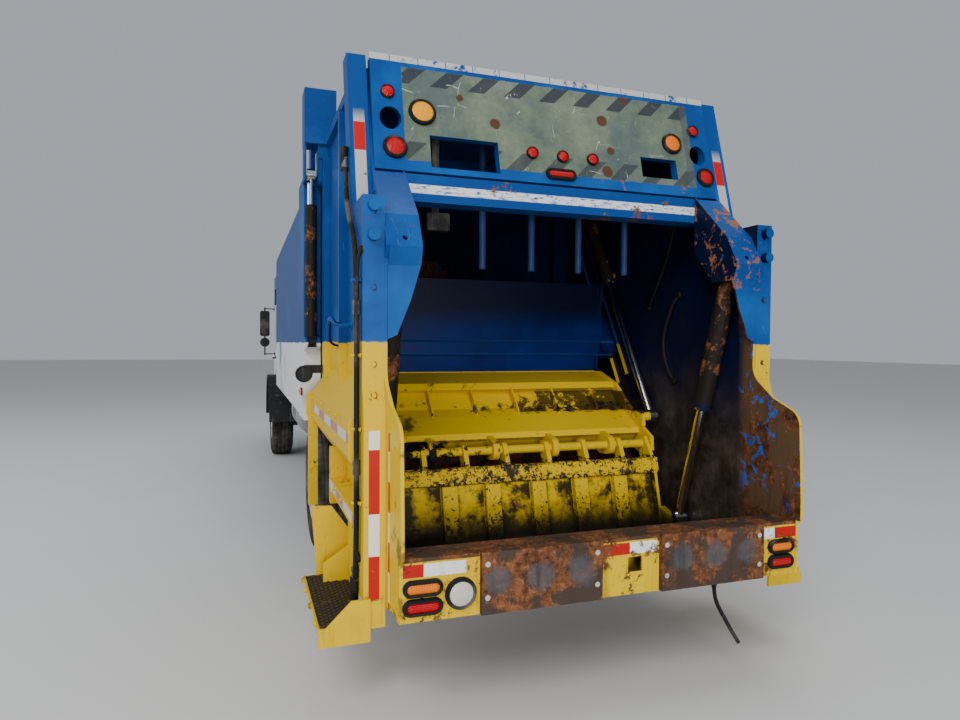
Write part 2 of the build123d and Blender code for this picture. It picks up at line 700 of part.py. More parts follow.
def make_tailgate_roof():
    """Roof sheet, crossbar under the fascia and a cross member at the front."""
    roof = block((-wall_in, wall_in), (aft(900), aft(tailgate_front)), (roof_z - plate, roof_z))
    crossbar = block((-wall_in, wall_in), (aft(668), aft(800)), (2425, 2565))
    crossbar -= block((-wall_in - 5, wall_in + 5), (aft(680), aft(788)), (2437, 2553))
    member = block((-wall_in, wall_in), (aft(tailgate_front - 100), aft(tailgate_front)),
                   (roof_z - 130, roof_z - plate))
    return [roof + member, crossbar]


def make_fascia():
    """Raked upper rear panel with lamp holes."""
    front = tail([(668, 2577), (830, 3220), (890, 3220), (728, 2577)])
    panel = slab_x(front, (-wall_in + seat_gap, wall_in - seat_gap))
    rake = math.degrees(math.atan2(830 - 668, 3220 - 2577))
    # middle x, middle z, half width, half height of the rectangular openings
    for x, z, wide, high in [(wall_in - 490, 2698, 191, 88), (374 - wall_in, 2736, 122, 61)]:
        panel -= block((x - wide, x + wide), (aft(500), aft(1000)), (z - high, z + high))
    for x, z, radius in [(wall_in - 95, 2865, 57), (90 - wall_in, 2850, 55)]:
        panel -= Pos(x, aft(760), z) * Rot(90 - rake, 0, 0) * Cylinder(radius, 400)
    return panel


def make_hopper_floor():
    points = tail(hopper_line)
    return sheet_x(points[::-1], (-wall_in, wall_in), -plate, hopper_radii[::-1])


def make_sill():
    """Box beam across the hopper's mouth with two bolted bumper plates."""
    sill = block((-wall_in + seat_gap, wall_in - seat_gap), (aft(0), aft(150)), (sill_low, sill_top))
    sill -= block((-wall_in - 5, wall_in + 5), (aft(plate), aft(150 - plate)),
                  (sill_low + plate, sill_top - plate))
    sill -= block((-119, -42), (aft(-5), aft(30)), (630, 700))
    for low, high in [(108, wall_in - 340), (229 - wall_in, -210)]:
        sill += block((low, high), (aft(-rear_proud), aft(1)), (sill_low + 5, sill_top + 5))
    exit_x, exit_ahead, exit_z = sill_hose_line[0]
    gland_low, gland_top = exit_z + seat_gap, sill_low + 1
    sill += Pos(exit_x, aft(exit_ahead), (gland_low + gland_top) / 2) * Cylinder(18, gland_top - gland_low)
    return sill


# middle x, middle z, half width, half height, kind
fascia_lamps = [(wall_in - 266, 2908, 70, 0, "amber"), (267 - wall_in, 2899, 62, 0, "amber"),
                (wall_in - 85, 3000, 37, 0, "red"), (105 - wall_in, 2995, 36, 0, "red"),
                (wall_in - 111, 2699, 60, 0, "red"), (60 - wall_in, 2704, 56, 0, "red"),
                (157, 2744, 34, 0, "red"), (-27, 2740, 34, 0, "red"), (-214, 2742, 34, 0, "red"),
                (-7, 2634, 88, 30, "red")]
sill_lamps = [(wall_in - 86, 668, 84, 33, "amber"), (wall_in - 86, 588, 84, 33, "red"),
              (wall_in - 253, 628, 66, 0, "white"),
              (100 - wall_in, 672, 76, 33, "amber"), (100 - wall_in, 594, 76, 33, "red")]


def make_lamps():
    """Lamps as short round or oblong housings on the fascia and the sill."""
    lamps = []
    rake = math.atan2(830 - 668, 3220 - 2577)
    for x, z, wide, high, kind in fascia_lamps:
        ahead = 668 + (z - 2577) * math.tan(rake)
        shape = Circle(wide) if high == 0 else SlotOverall(2 * wide, 2 * high)
        place = Pos(x, aft(ahead) + seat_gap, z) * Rot(-90 + math.degrees(rake), 0, 0)
        lamps.append(place * extrude(shape, 22))
    for x, z, wide, high, kind in sill_lamps:
        shape = Circle(wide) if high == 0 else SlotOverall(2 * wide, 2 * high)
        lamps.append(Pos(x, aft(0) + seat_gap, z) * Rot(-90, 0, 0) * extrude(shape, 22))
    return lamps


def make_steps():
    """Riding steps at the rear corners: a grip platform, a near guard, a gusset and a tall far guard."""
    # across X and up Z, and the stretch ahead that each plate fills
    root, inner = wall_out + 10, wall_out + 70
    plates = [([(inner, 345), (step_out, 345), (step_out, 398), (inner + 84, 540), (inner, 540)],
               (step_near - 12, step_near)),
              ([(root, step_z - 1), (inner + 141, step_z - 1), (inner + 141, 526), (inner - 1, 620), (root, 620)],
               (888, 900)),
              ([(root, step_z - 25), (step_out - 60, step_z - 25), (step_out - 67, 468), (step_out - 38, 806),
                (step_out - 148, 800), (root, 600)], (step_far - 12, step_far))]
    left = block((inner, step_out), (aft(step_near), aft(step_far)), (step_z - 25, step_z))
    for outline, (near, far) in plates:
        left += slab_y(outline, (aft(far), aft(near)))
    # inner plates that carry the platform from the hopper's side
    left += block((wall_out, wall_out + 80), (aft(290), aft(460)), (step_z - 25, sill_low - seat_gap))
    left += block((wall_out, wall_out + 80), (aft(700), aft(900)), (step_z - 25, 780 - seat_gap))
    return [left, other_side(left)]


def make_slide_barrels():
    solids = []
    for side in (1, -1):
        ends = []
        for along in (slide_barrel_start, slide_barrel_start + 960):
            ends.append((side * cylinder_x, aft(slide_eye_ahead + along * slide_forward),
                         slide_eye_z + along * slide_up))
        barrel = shaft(ends[0], ends[1], slide_barrel_radius)
        bore_end = (ends[0][0], ends[0][1] - 900 * slide_forward, ends[0][2] + 900 * slide_up)
        barrel -= shaft(ends[0], bore_end, slide_rod_radius + running_gap)
        for along in (slide_barrel_start + 60, slide_barrel_start + 920):
            y = aft(slide_eye_ahead + along * slide_forward)
            z = slide_eye_z + along * slide_up
            inner = cylinder_x + slide_rod_radius + 6
            barrel += shaft_x(y, z, 24, (side * inner, side * (wall_in - seat_gap)))
        solids.append(barrel)
    return solids


keep("tailgate_sides", *make_tailgate_sides())
keep("tailgate_posts", *make_tailgate_posts())
keep("tailgate_ears", *make_tailgate_ears())
keep("tailgate_towers", *make_tailgate_towers())
keep("tailgate_roof", *make_tailgate_roof())
keep("fascia", make_fascia())
keep("hopper_floor", make_hopper_floor())
keep("sill_beam", make_sill())
keep("tail_lamps", *make_lamps())
keep("side_steps", *make_steps())
keep("hydraulic_lines", *make_hydraulic_lines())
keep("sill_hose", make_sill_hose())
keep("slide_barrels", *make_slide_barrels())


# Carriage and blade

carriage_line = [(1800, 2145), (1800, 1722), (1832, 1706), (1832, 1622), (1866, 1606), (1880, 1489),
                 (1598, 1428), (1570, 1386), (1625, 1366), (1520, 1262), (1425, 1222), (1250, 1135),
                 (1236, 1100), (1290, 1078)]


def make_carriage():
    """Stepped slide panel, two shelf plates with gussets, end plates, shoes and blade hinge eyes."""
    panel = sheet_x(tail(carriage_line), (-panel_half + 2, panel_half - 2), -plate)
    end_outline = tail([(1780, 2145), (2020, 2145), (2020, 1400), (1330, 1010), (1225, 960), (1090, 1000),
                        (1100, 1090), (1215, 1150), (1570, 1420), (1860, 1510)])
    for x in both((panel_half - plate * 2, panel_half)):
        panel += slab_x(end_outline, x)
    back = sheet_x(tail([(2020, 2145), (2020, 1400), (1330, 1010), (1290, 1070)]),
                   (-panel_half + 2, panel_half - 2), plate)
    panel += back
    panel += block((-panel_half + 2, panel_half - 2), (aft(1800), aft(2020)), (2133, 2145))
    for x in (516, 215, -78, -376, -672):
        gusset = tail([(1572, 1400), (1640, 1380), (1530, 1262), (1425, 1222), (1440, 1262)])
        panel += slab_x(gusset, (x - 5, x + 5))
    for x in (600, 200, -200, -600):
        eye = slab_x(tail([(1310, 1085), (1250, 1120), (pivot_ahead - 55, pivot_z + 50),
                           (pivot_ahead - 55, pivot_z - 55), (1240, 975), (1320, 1015)]), (x - 20, x + 20),
                     [0, 0, 50, 50, 0, 0])
        panel += eye
    panel -= shaft_x(aft(pivot_ahead), pivot_z, pivot_radius + running_gap, (-panel_half - 5, panel_half + 5))
    for side in (1, -1):
        # shoe in its track
        centre = (1700 + 120 * slide_forward + 250 * slide_forward, 1440 + 370 * slide_up)
        half_run = 160
        across = track_half - guide_gap
        shoe = []
        for along, cross in ((-1, -1), (1, -1), (1, 1), (-1, 1)):
            shoe.append((centre[0] + along * half_run * slide_forward + cross * across * slide_up,
                         centre[1] + along * half_run * slide_up - cross * across * slide_forward))
        x = (panel_half - 5, wall_in - side_gap) if side > 0 else (-wall_in + side_gap, -panel_half + 5)
        panel += slab_x(tail(shoe), x)
        # boss that carries the slide rod's eye
        boss_end = cylinder_x - 28 - seat_gap
        panel += shaft_x(aft(slide_eye_ahead), slide_eye_z, 30, (side * (panel_half - 10), side * boss_end))
        panel += slab_x(tail([(slide_eye_ahead + 60, slide_eye_z - 120), (slide_eye_ahead - 40, slide_eye_z - 60),
                              (slide_eye_ahead - 30, slide_eye_z + 40), (slide_eye_ahead + 90, slide_eye_z + 30)]),
                        (panel_half - plate * 2, panel_half) if side > 0 else (-panel_half, -panel_half + plate * 2))
    return panel


def make_slide_rods():
    rods = []
    for side in (1, -1):
        x = side * cylinder_x
        start = (x, aft(slide_eye_ahead), slide_eye_z)
        along = slide_barrel_start + 60
        end = (x, aft(slide_eye_ahead + along * slide_forward), slide_eye_z + along * slide_up)
        rod = shaft(start, end, slide_rod_radius)
        rod += shaft_x(start[1], start[2], 44, (x - 28, x + 28))
        rods.append(rod)
    return rods


def make_blade():
    """Sweeping blade: hinge tube, lugs, top bar and a panel with upright hat ribs."""
    half = panel_half - 2
    bar = slab_x(tail([(1075, 962), (1052, 958), (1030, 870), (1062, 850), (1110, 905)]), (-half, half))
    panel = sheet_x(tail([(1058, 880), (975, 545), (940, 470)]), (-half, half), -plate)
    blade = bar + panel
    blade += sheet_x(tail([(1105, 905), (1130, 870), (1010, 500), (945, 474)]), (-half, half), -plate)
    for x in (528, 262, -37, -322, -600):
        hat = tail([(1050, 880), (1005, 860), (925, 520), (965, 520)])
        blade += slab_x(hat, (x - 45, x + 45))
    for x in both((half - 20, half)):
        end = tail([(pivot_ahead + 50, pivot_z + 30), (pivot_ahead - 30, pivot_z + 50), (1040, 965), (1010, 870),
                    (930, 560), (930, 470), (1015, 490), (1140, 860)])
        side = (half - 54, half - 30) if x[0] > 0 else (-half + 30, -half + 54)
        blade += slab_x(end, side)
    for x in (660, 400, 140, -140, -400, -660):
        lug = tail([(pivot_ahead + 45, pivot_z - 20), (pivot_ahead + 30, pivot_z + 45), (pivot_ahead - 30, pivot_z + 45),
                    (1060, 955), (1100, 900), (1150, 950)])
        blade += slab_x(lug, (x - 14, x + 14), [30, 30, 30, 0, 0, 0])
    blade += shaft_x(aft(pivot_ahead), pivot_z, pivot_radius, (-panel_half - 4, panel_half + 4))
    for side in (1, -1):
        # lug beside the sweep rod's eye
        lug = tail([(960, 660), (sweep_eye_ahead - 40, sweep_eye_z + 45), (sweep_eye_ahead - 45, sweep_eye_z - 45),
                    (950, 520), (1000, 520)])
        x = (half - 45, half) if side > 0 else (-half, -half + 45)
        blade += slab_x(lug, x, [0, 38, 38, 0, 0])
    return blade


def sweep_line():
    run = Vector(0, aft(sweep_eye_ahead) - aft(sweep_top_ahead), sweep_eye_z - sweep_top_z)
    return run.length, run.normalized()


def make_sweep_barrels():
    reach, way = sweep_line()
    barrels = []
    for side in (1, -1):
        top = Vector(side * cylinder_x, aft(sweep_top_ahead), sweep_top_z)
        end = top + way * sweep_barrel_length
        barrel = shaft(top + way * 30, end, sweep_barrel_radius)
        barrel += shaft_x(top.Y, top.Z, 52, (top.X - 50, top.X + 50))
        barrel -= shaft(end, end - way * (sweep_barrel_length - 90), sweep_rod_radius + running_gap)
        barrel -= shaft_x(top.Y, top.Z, 24 + running_gap, (top.X - 60, top.X + 60))
        barrels.append(barrel)
    return barrels


def make_sweep_rods():
    reach, way = sweep_line()
    rods = []
    for side in (1, -1):
        eye = Vector(side * cylinder_x, aft(sweep_eye_ahead), sweep_eye_z)
        start = eye - way * (reach - sweep_barrel_length + 100)
        rod = shaft(start, eye, sweep_rod_radius)
        rod += shaft_x(eye.Y, eye.Z, 45, (eye.X - 40, eye.X + 40))
        rods.append(rod)
    return rods


def make_lift_barrels():
    barrels = []
    for side in (1, -1):
        x, y = side * lift_x, aft(lift_ahead)
        foot, top = lift_foot_z + 44, lift_foot_z + lift_barrel_length + 22
        barrel = shaft((x, y, foot), (x, y, top), lift_barrel_radius)
        barrel += shaft_x(y, lift_foot_z, 40, (x - side * 35, x + side * 20))
        barrel += block((x - side * 35, x + side * 20), (y - 25, y + 25), (lift_foot_z + 20, foot + 1))
        barrel -= shaft((x, y, foot + 20), (x, y, top + 5), lift_rod_radius + running_gap)
        barrel -= shaft_x(y, lift_foot_z, 25 + running_gap, (x - 60, x + 60))
        barrels.append(barrel)
    return barrels


def make_lift_rods():
    rods = []
    for side in (1, -1):
        x, y = side * lift_x, aft(lift_ahead)
        low = lift_foot_z + 150
        rod = Pos(x, y, (low + lift_eye_z) / 2) * Cylinder(lift_rod_radius, lift_eye_z - low)
        rod += shaft_x(y, lift_eye_z, 45, (x - side * 30, x + side * 30))
        rods.append(rod)
    return rods


keep("carriage", make_carriage())
keep("slide_rods", *make_slide_rods())
keep("blade", make_blade())
keep("sweep_barrels", *make_sweep_barrels())
keep("sweep_rods", *make_sweep_rods())
keep("lift_barrels", *make_lift_barrels())
keep("lift_rods", *make_lift_rods())


# Cab

cab_front_y = fore(cab_front_at)
cab_rear_y = fore(cab_rear_at)
door_front_y = fore(door_front_at)
door_rear_y = fore(door_rear_at)
hinge_zs = (1000.0, 1480.0)
hinge_x = cab_half + 15
hinge_line_y = door_front_y - 4
# door's outline: Y, Z, corner radius
door_outline = [(door_front_y, door_low, 30), (fore(skirt_rear_at) - 40, door_low, 60),
                (fore(skirt_rear_at) - 40, 1150, 120), (door_rear_y, 1420, 60), (door_rear_y, door_top, 60),
                (door_front_y + 190, door_top, 60), (door_front_y, 1750, 200)]
glass_outline = [(door_front_y + 80, 1560, 40), (door_rear_y - 70, 1560, 40), (door_rear_y - 70, door_top - 90, 60),
                 (door_front_y + 265, door_top - 90, 60), (door_front_y + 85, 1800, 60)]


def drawn(outline, x, gap=0.0):
    """Slab of an outline of (Y, Z, radius) rows; gap draws every point out from the middle."""
    points = [(y, z) for y, z, radius in outline]
    radii = [radius for y, z, radius in outline]
    if gap:
        points = grown(points, gap)
    return slab_x(points, x, radii)


def grown(points, gap):
    """Closed outline moved out by gap on every side."""
    area = sum(a[0] * b[1] - b[0] * a[1] for a, b in zip(points, points[1:] + points[:1]))
    ring = [points[-1]] + points + [points[0]]
    return offset_points(ring, -gap if area > 0 else gap)[1:-1]


def make_cab_floor():
    """Floor over the rails and engine, with low foot wells ahead of the wheels and the tilt arms."""
    inside = cab_half - cab_wall
    floor = block((-inside, inside), (fore(skirt_rear_at), cab_rear_y - cab_wall), (cab_arch_z, cab_arch_z + 40))
    for side in (1, -1):
        well = (side * 520, side * inside)
        y = (cab_front_y + cab_wall, fore(skirt_rear_at))
        floor += block(well, y, (skirt_low + 60, skirt_low + 100))
        floor += block((side * 520, side * 545), y, (skirt_low + 60, cab_arch_z + 40))
        floor += block(well, (y[1] - 25, y[1]), (skirt_low + 60, cab_arch_z + 40))
        arm = [(tilt_y - 50, cab_arch_z + 5), (tilt_y - 50, tilt_z - 50), (tilt_y + 50, tilt_z - 50),
               (tilt_y + 60, cab_arch_z + 5)]
        arm_x = (454, 494) if side > 0 else (-494, -454)
        floor += slab_x(arm, arm_x, [0, 48, 48, 0])
    floor += block((-545, 545), (cab_front_y + cab_wall, fore(skirt_rear_at) + 10), (cab_arch_z, cab_arch_z + 40))
    floor += block((-370, 370), (fore(820), cab_rear_y - cab_wall), (cab_arch_z + 35, 1540))
    floor -= block((-330, 330), (fore(860), cab_rear_y + 5), (cab_arch_z - 5, 1500))
    for side in (1, -1):
        floor -= shaft_x(tilt_y, tilt_z, tilt_pin_radius + running_gap, (side * 440, side * 500))
    return floor


def make_cab_sides():
    sides = []
    outline = [(cab_front_y + cab_wall, skirt_low, 0), (fore(skirt_rear_at), skirt_low, 0),
               (fore(skirt_rear_at), cab_arch_z, 0), (cab_rear_y, cab_arch_z, 0), (cab_rear_y, cab_top - 60, 60),
               (cab_front_y + 260, cab_top - 60, 60), (cab_front_y + cab_wall, 1700, 0)]
    for x in both((cab_half - cab_wall, cab_half)):
        wall = drawn(outline, x)
        wall -= drawn(door_outline, (x[0] - 5, x[1] + 5), door_gap)
        side = 1 if x[0] > 0 else -1
        for z in hinge_zs:
            wall += Pos(side * hinge_x, hinge_line_y, z) * Cylinder(5, 130)
            for low in (z - 65, z + 51):
                wall += Pos(side * hinge_x, hinge_line_y, low + 7) * Cylinder(8, 14)
                wall += block((side * (cab_half - 1), side * hinge_x), (hinge_line_y - 14, hinge_line_y - 3),
                              (low, low + 14))
        sides.append(wall)
    return sides


def make_cab_rear():
    inside = cab_half - cab_wall
    wall = block((-inside, inside), (cab_rear_y - cab_wall, cab_rear_y), (cab_arch_z, cab_top - 60))
    return wall - block((-330, 330), (cab_rear_y - 100, cab_rear_y + 5), (cab_arch_z - 5, 1500))


def make_cab_roof():
    y = (cab_front_y + 150, cab_rear_y)
    roof = block((-cab_half, cab_half), y, (cab_top - 60, cab_top))
    edges = roof.edges().group_by(Axis.Z)[-1]
    return fillet(edges, 45)


def make_cab_front():
    """Front panel with the windscreen's opening and a grille of level bars."""
    inside = cab_half
    rake = [(cab_front_y, skirt_low), (cab_front_y, 1700), (cab_front_y + 200, cab_top - 60),
            (cab_front_y + 200 + cab_wall, cab_top - 60), (cab_front_y + cab_wall, 1700),
            (cab_front_y + cab_wall, skirt_low)]
    front = slab_x(rake, (-inside, inside))
    screen = slab_y([(-980, 1760), (980, 1760), (940, 2600), (-940, 2600)], (cab_front_y - 20, cab_front_y + 400),
                    90.0)
    front -= screen
    front -= block((-520, 520), (cab_front_y - 5, cab_front_y + 120), (760, 1240))
    for z in range(800, 1230, 80):
        front += block((-522, 522), (cab_front_y + 8, cab_front_y + 30), (z, z + 28))
    front += block((-15, 15), (cab_front_y + 8, cab_front_y + 30), (758, 1242))
    return front


def make_windscreen():
    lean = 200 / (cab_top - 60 - 1700)
    low, high = 1760, 2600
    y_low = cab_front_y + lean * (low - 1700) + 20
    y_high = cab_front_y + lean * (high - 1700) + 20
    pane = slab_x([(y_low, low), (y_high, high), (y_high + 8, high), (y_low + 8, low)], (-1000, 1000))
    cut = slab_y([(-980 + seat_gap, low + seat_gap), (980 - seat_gap, low + seat_gap), (940 - seat_gap, high - seat_gap),
                  (-940 + seat_gap, high - seat_gap)], (cab_front_y - 20, cab_front_y + 400), 90.0)
    return pane & cut


def make_door(side):
    inner = cab_half - cab_wall + side_gap
    x = (inner, cab_half) if side > 0 else (-cab_half, -inner)
    door = drawn(door_outline, x)
    door -= drawn(glass_outline, (x[0] - 5, x[1] + 5))
    knob = side * (cab_half + 20)
    door += block((side * (cab_half - 2), knob), (door_rear_y - 190, door_rear_y - 60), (1400, 1430))
    for z in hinge_zs:
        door += block((side * (cab_half - 2), side * hinge_x), (door_front_y, door_front_y + 40), (z - 40, z + 40))
        door += Pos(side * hinge_x, hinge_line_y, z) * Cylinder(9, 90)
        door -= Pos(side * hinge_x, hinge_line_y, z) * Cylinder(5 + running_gap, 100)
    return door


def make_door_glass(side):
    middle = side * (cab_half - cab_wall / 2)
    return drawn(glass_outline, (middle - 4, middle + 4), -seat_gap)


def make_mirror(side):
    """Tall mirror over a round one, on a loop bracket from the door."""
    y = door_front_y + 320
    middle = side * (cab_half + 160)
    head = block((side * (cab_half + 85), side * (cab_half + 235)), (y - 30, y + 30), (1790, 2200))
    head = fillet(head.edges().filter_by(Axis.Y), 30)
    low = Pos(middle, y, 1690) * Rot(90, 0, 0) * Cylinder(75, 40)
    skin = side * (cab_half + seat_gap)
    loop = shaft((middle, y, 1480), (middle, y, 2260), 11)
    loop += shaft((side * (cab_half + 10), y, 1500), (middle, y, 1500), 8)
    loop += shaft((side * (cab_half + 10), door_front_y + 145, 2240), (middle, y, 2240), 8)
    for end_y, z in ((y, 1500), (door_front_y + 145, 2240)):
        loop += block((skin, side * (cab_half + 14)), (end_y - 28, end_y + 28), (z - 28, z + 28))
    return head + low + loop


def make_interior():
    """Two seats, dashboard and steering wheel on the cab's floor."""
    solids = []
    for side in (1, -1):
        x = (side * 420, side * 900)
        y = (fore(820), fore(1300))
        seat = block(x, y, (cab_arch_z + 40 + seat_gap, 1580))
        seat = fillet(seat.edges().group_by(Axis.Z)[-1], 40)
        back = block(x, (fore(1300), fore(1420)), (cab_arch_z + 40 + seat_gap, 2250))
        solids.append(seat + fillet(back.edges().group_by(Axis.Z)[-1], 40))
    dash_half = cab_half - cab_wall - 5
    dash = block((-dash_half, dash_half), (cab_front_y + cab_wall + seat_gap, fore(360)), (1330, 1620))
    dash += shaft((660, fore(330), 1560), (660, fore(520), 1740), 25)
    wheel = Pos(660, fore(530), 1750) * Rot(47, 0, 0) * (Torus(210, 16) + Box(420, 30, 16) + Cylinder(50, 20))
    solids.append(dash + wheel)
    return solids


keep("cab_floor", make_cab_floor())
keep("cab_sides", *make_cab_sides())
keep("cab_rear_wall", make_cab_rear())
keep("cab_roof", make_cab_roof())
keep("cab_front", make_cab_front())
keep("windscreen", make_windscreen())
keep("cab_interior", *make_interior())
for side, word in ((1, "left"), (-1, "right")):
    keep("door_" + word, make_door(side))
    keep("door_glass_" + word, make_door_glass(side))
    keep("mirror_" + word, make_mirror(side))

for name, shape in nodes.items():
    export_step(shape, "parts/" + name + ".step")
print(len(nodes), "nodes")
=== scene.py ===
import math
import bmesh
import bpy
import numpy as np
from mathutils import Matrix, Vector


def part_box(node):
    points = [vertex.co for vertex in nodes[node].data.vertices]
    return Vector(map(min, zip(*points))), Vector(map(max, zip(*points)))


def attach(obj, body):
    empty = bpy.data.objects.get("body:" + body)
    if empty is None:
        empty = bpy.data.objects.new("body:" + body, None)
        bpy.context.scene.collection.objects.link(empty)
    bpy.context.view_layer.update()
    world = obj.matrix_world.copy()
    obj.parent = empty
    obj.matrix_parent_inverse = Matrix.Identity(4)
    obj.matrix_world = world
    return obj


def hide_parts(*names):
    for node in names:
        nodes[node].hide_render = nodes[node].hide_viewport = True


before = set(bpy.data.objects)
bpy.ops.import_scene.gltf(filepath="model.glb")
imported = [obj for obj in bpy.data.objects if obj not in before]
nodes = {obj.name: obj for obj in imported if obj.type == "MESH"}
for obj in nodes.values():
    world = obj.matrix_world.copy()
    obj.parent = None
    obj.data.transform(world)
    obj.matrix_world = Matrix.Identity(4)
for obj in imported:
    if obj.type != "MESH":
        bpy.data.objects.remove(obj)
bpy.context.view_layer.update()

# Places are metres in the truck's own frame: +Y is the rear, +X the left side, Z up.
sillY = 4.67  # rear edge of the sill; "ahead" is a distance in front of it


def aft(ahead):
    return sillY - ahead


# Camera

cameraSetup = {"place": (1.666, 7.425, 1.70), "yaw": 19.31, "pitch": 1.43, "roll": 0.38, "lens": 25.5}


def makeCamera():
    # looks towards -Y, turned by yaw to -X and tipped down by pitch, then rolled about its own view line
    yaw, pitch, roll = (math.radians(cameraSetup[key]) for key in ("yaw", "pitch", "roll"))
    ahead = Vector((-math.sin(yaw) * math.cos(pitch), -math.cos(yaw) * math.cos(pitch), -math.sin(pitch)))
    right = Vector((-math.cos(yaw), math.sin(yaw), 0))
    up = right.cross(ahead)
    sideways = math.cos(roll) * right + math.sin(roll) * up
    upright = -math.sin(roll) * right + math.cos(roll) * up
    data = bpy.data.cameras.new("camera")
    data.lens = cameraSetup["lens"]
    data.sensor_width = 36.0
    data.clip_end = 200.0
    camera = bpy.data.objects.new("camera", data)
    bpy.context.scene.collection.objects.link(camera)
    turn = Matrix((sideways, upright, -ahead)).transposed()
    camera.matrix_world = Matrix.Translation(cameraSetup["place"]) @ turn.to_4x4()
    bpy.context.scene.camera = camera


makeCamera()
print("camera set")

# Loose hose under the sill: (X, ahead, Z)
sillHose = {"exit": (-0.590, 0.075, 0.506), "length": 0.38, "diameter": 0.020,
            "line": [(-0.590, 0.075, 0.506), (-0.590, 0.075, 0.452), (-0.604, 0.076, 0.398),
                     (-0.630, 0.078, 0.350), (-0.660, 0.077, 0.302), (-0.690, 0.074, 0.252),
                     (-0.717, 0.072, 0.208), (-0.746, 0.073, 0.168)]}


def makeSillHose():
    # round line on one NURBS spline through the route's control points
    curve = bpy.data.curves.new("sillHoseLine", "CURVE")
    curve.dimensions = "3D"
    curve.bevel_depth = 1.0
    curve.bevel_resolution = 6
    curve.resolution_u = 12
    curve.use_fill_caps = True
    spline = curve.splines.new("NURBS")
    spline.points.add(len(sillHose["line"]) - 1)
    for point, (x, ahead, z) in zip(spline.points, sillHose["line"]):
        point.co = (x, aft(ahead), z, 1.0)
        point.radius = sillHose["diameter"] / 2
    spline.order_u = 3
    spline.use_endpoint_u = True
    hose = bpy.data.objects.new("sillHoseLine", curve)
    bpy.context.scene.collection.objects.link(hose)
    x, ahead, z = sillHose["exit"]
    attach(hose, "tailgate")
    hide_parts("sill_hose")
    return hose


looseHose = makeSillHose()
print("hose laid")


# Node helpers

class Net:
    # wires shader nodes: each call adds one node and gives back its output socket

    def __init__(self, tree):
        self.tree = tree

    def node(self, kind, **settings):
        made = self.tree.nodes.new(kind)
        for key, value in settings.items():
            setattr(made, key, value)
        return made

    def put(self, socket, value):
        if isinstance(value, bpy.types.NodeSocket):
            self.tree.links.new(value, socket)
        elif value is not None:
            if socket.type == "RGBA" and len(value) == 3:
                value = (*value, 1.0)
            socket.default_value = value

    def wire(self, kind, values, out=0, **settings):
        # one node with its inputs set or linked, by name or by number
        made = self.node("ShaderNode" + kind, **settings)
        for key, value in values.items():
            self.put(made.inputs[key], value)
        return made.outputs[out]

    def math(self, how, a, b=None, clamp=False):
        return self.wire("Math", {0: a, 1: b}, operation=how, use_clamp=clamp)

    def add(self, a, b):
        return self.math("ADD", a, b)

    def sub(self, a, b):
        return self.math("SUBTRACT", a, b)

    def mul(self, a, b):
        return self.math("MULTIPLY", a, b)

    def most(self, a, b):
        return self.math("MAXIMUM", a, b)

    def product(self, first, *others):
        for other in others:
            first = self.mul(first, other)
        return first

    def but(self, mask):
        # where the mask is not
        return self.sub(1.0, mask)

    def turns(self, value, length):
        # 1 on every second half of the length
        return self.math("GREATER_THAN", self.math("FRACT", self.mul(value, 1 / length)), 0.5)

    def step(self, value, low, high):
        # 0 below low, 1 above high, straight between; low may be above high
        return self.wire("MapRange", {"Value": value, "From Min": low, "From Max": high}, clamp=True)

    def band(self, value, low, high, soft):
        # 1 from low to high, fading over soft outside both
        return self.mul(self.step(value, low - soft, low), self.step(value, high + soft, high))

    def mix(self, share, a, b):
        return self.wire("Mix", {0: share, 6: a, 7: b}, 2, data_type="RGBA", clamp_factor=True)

    def blend(self, share, a, b):
        # a plain number between a and b
        return self.wire("Mix", {0: share, 2: a, 3: b}, data_type="FLOAT", clamp_factor=True)

    def noise(self, vector, scale, detail=4.0, rough=0.55, twist=0.0):
        return self.wire("TexNoise", {"Vector": vector, "Scale": scale, "Detail": detail,
                                      "Roughness": rough, "Distortion": twist})

    def edges(self, vector, scale):
        # distance to the nearest border between random cells
        return self.wire("TexVoronoi", {"Vector": vector, "Scale": scale}, "Distance",
                         feature="DISTANCE_TO_EDGE")

    def shaken(self, vector, scale, reach):
        # places moved by up to reach along the colours of a noise
        shake = self.wire("TexNoise", {"Vector": vector, "Scale": scale}, 1)
        small = self.wire("VectorMath", {0: shake, "Scale": reach}, operation="SCALE")
        return self.wire("VectorMath", {0: vector, 1: small}, operation="ADD")

    def scaled(self, vector, x, y, z):
        return self.wire("Mapping", {"Vector": vector, "Scale": (x, y, z)})

    def parts(self, vector):
        made = self.node("ShaderNodeSeparateXYZ")
        self.put(made.inputs[0], vector)
        return made.outputs[0], made.outputs[1], made.outputs[2]

    def group(self, tree, **values):
        made = self.node("ShaderNodeGroup")
        made.node_tree = tree
        for key, value in values.items():
            self.put(made.inputs[key], value)
        return made.outputs


def newGroup(name, inputs, outputs):
    tree = bpy.data.node_groups.new(name, "ShaderNodeTree")
    kinds = {"vector": "NodeSocketVector", "value": "NodeSocketFloat", "colour": "NodeSocketColor"}
    for label, kind, start in inputs:
        socket = tree.interface.new_socket(label, in_out="INPUT", socket_type=kinds[kind])
        if start is not None:
            socket.default_value = start
    for label, kind in outputs:
        tree.interface.new_socket(label, in_out="OUTPUT", socket_type=kinds[kind])
    net = Net(tree)
    return tree, net, net.node("NodeGroupInput").outputs, net.node("NodeGroupOutput").inputs


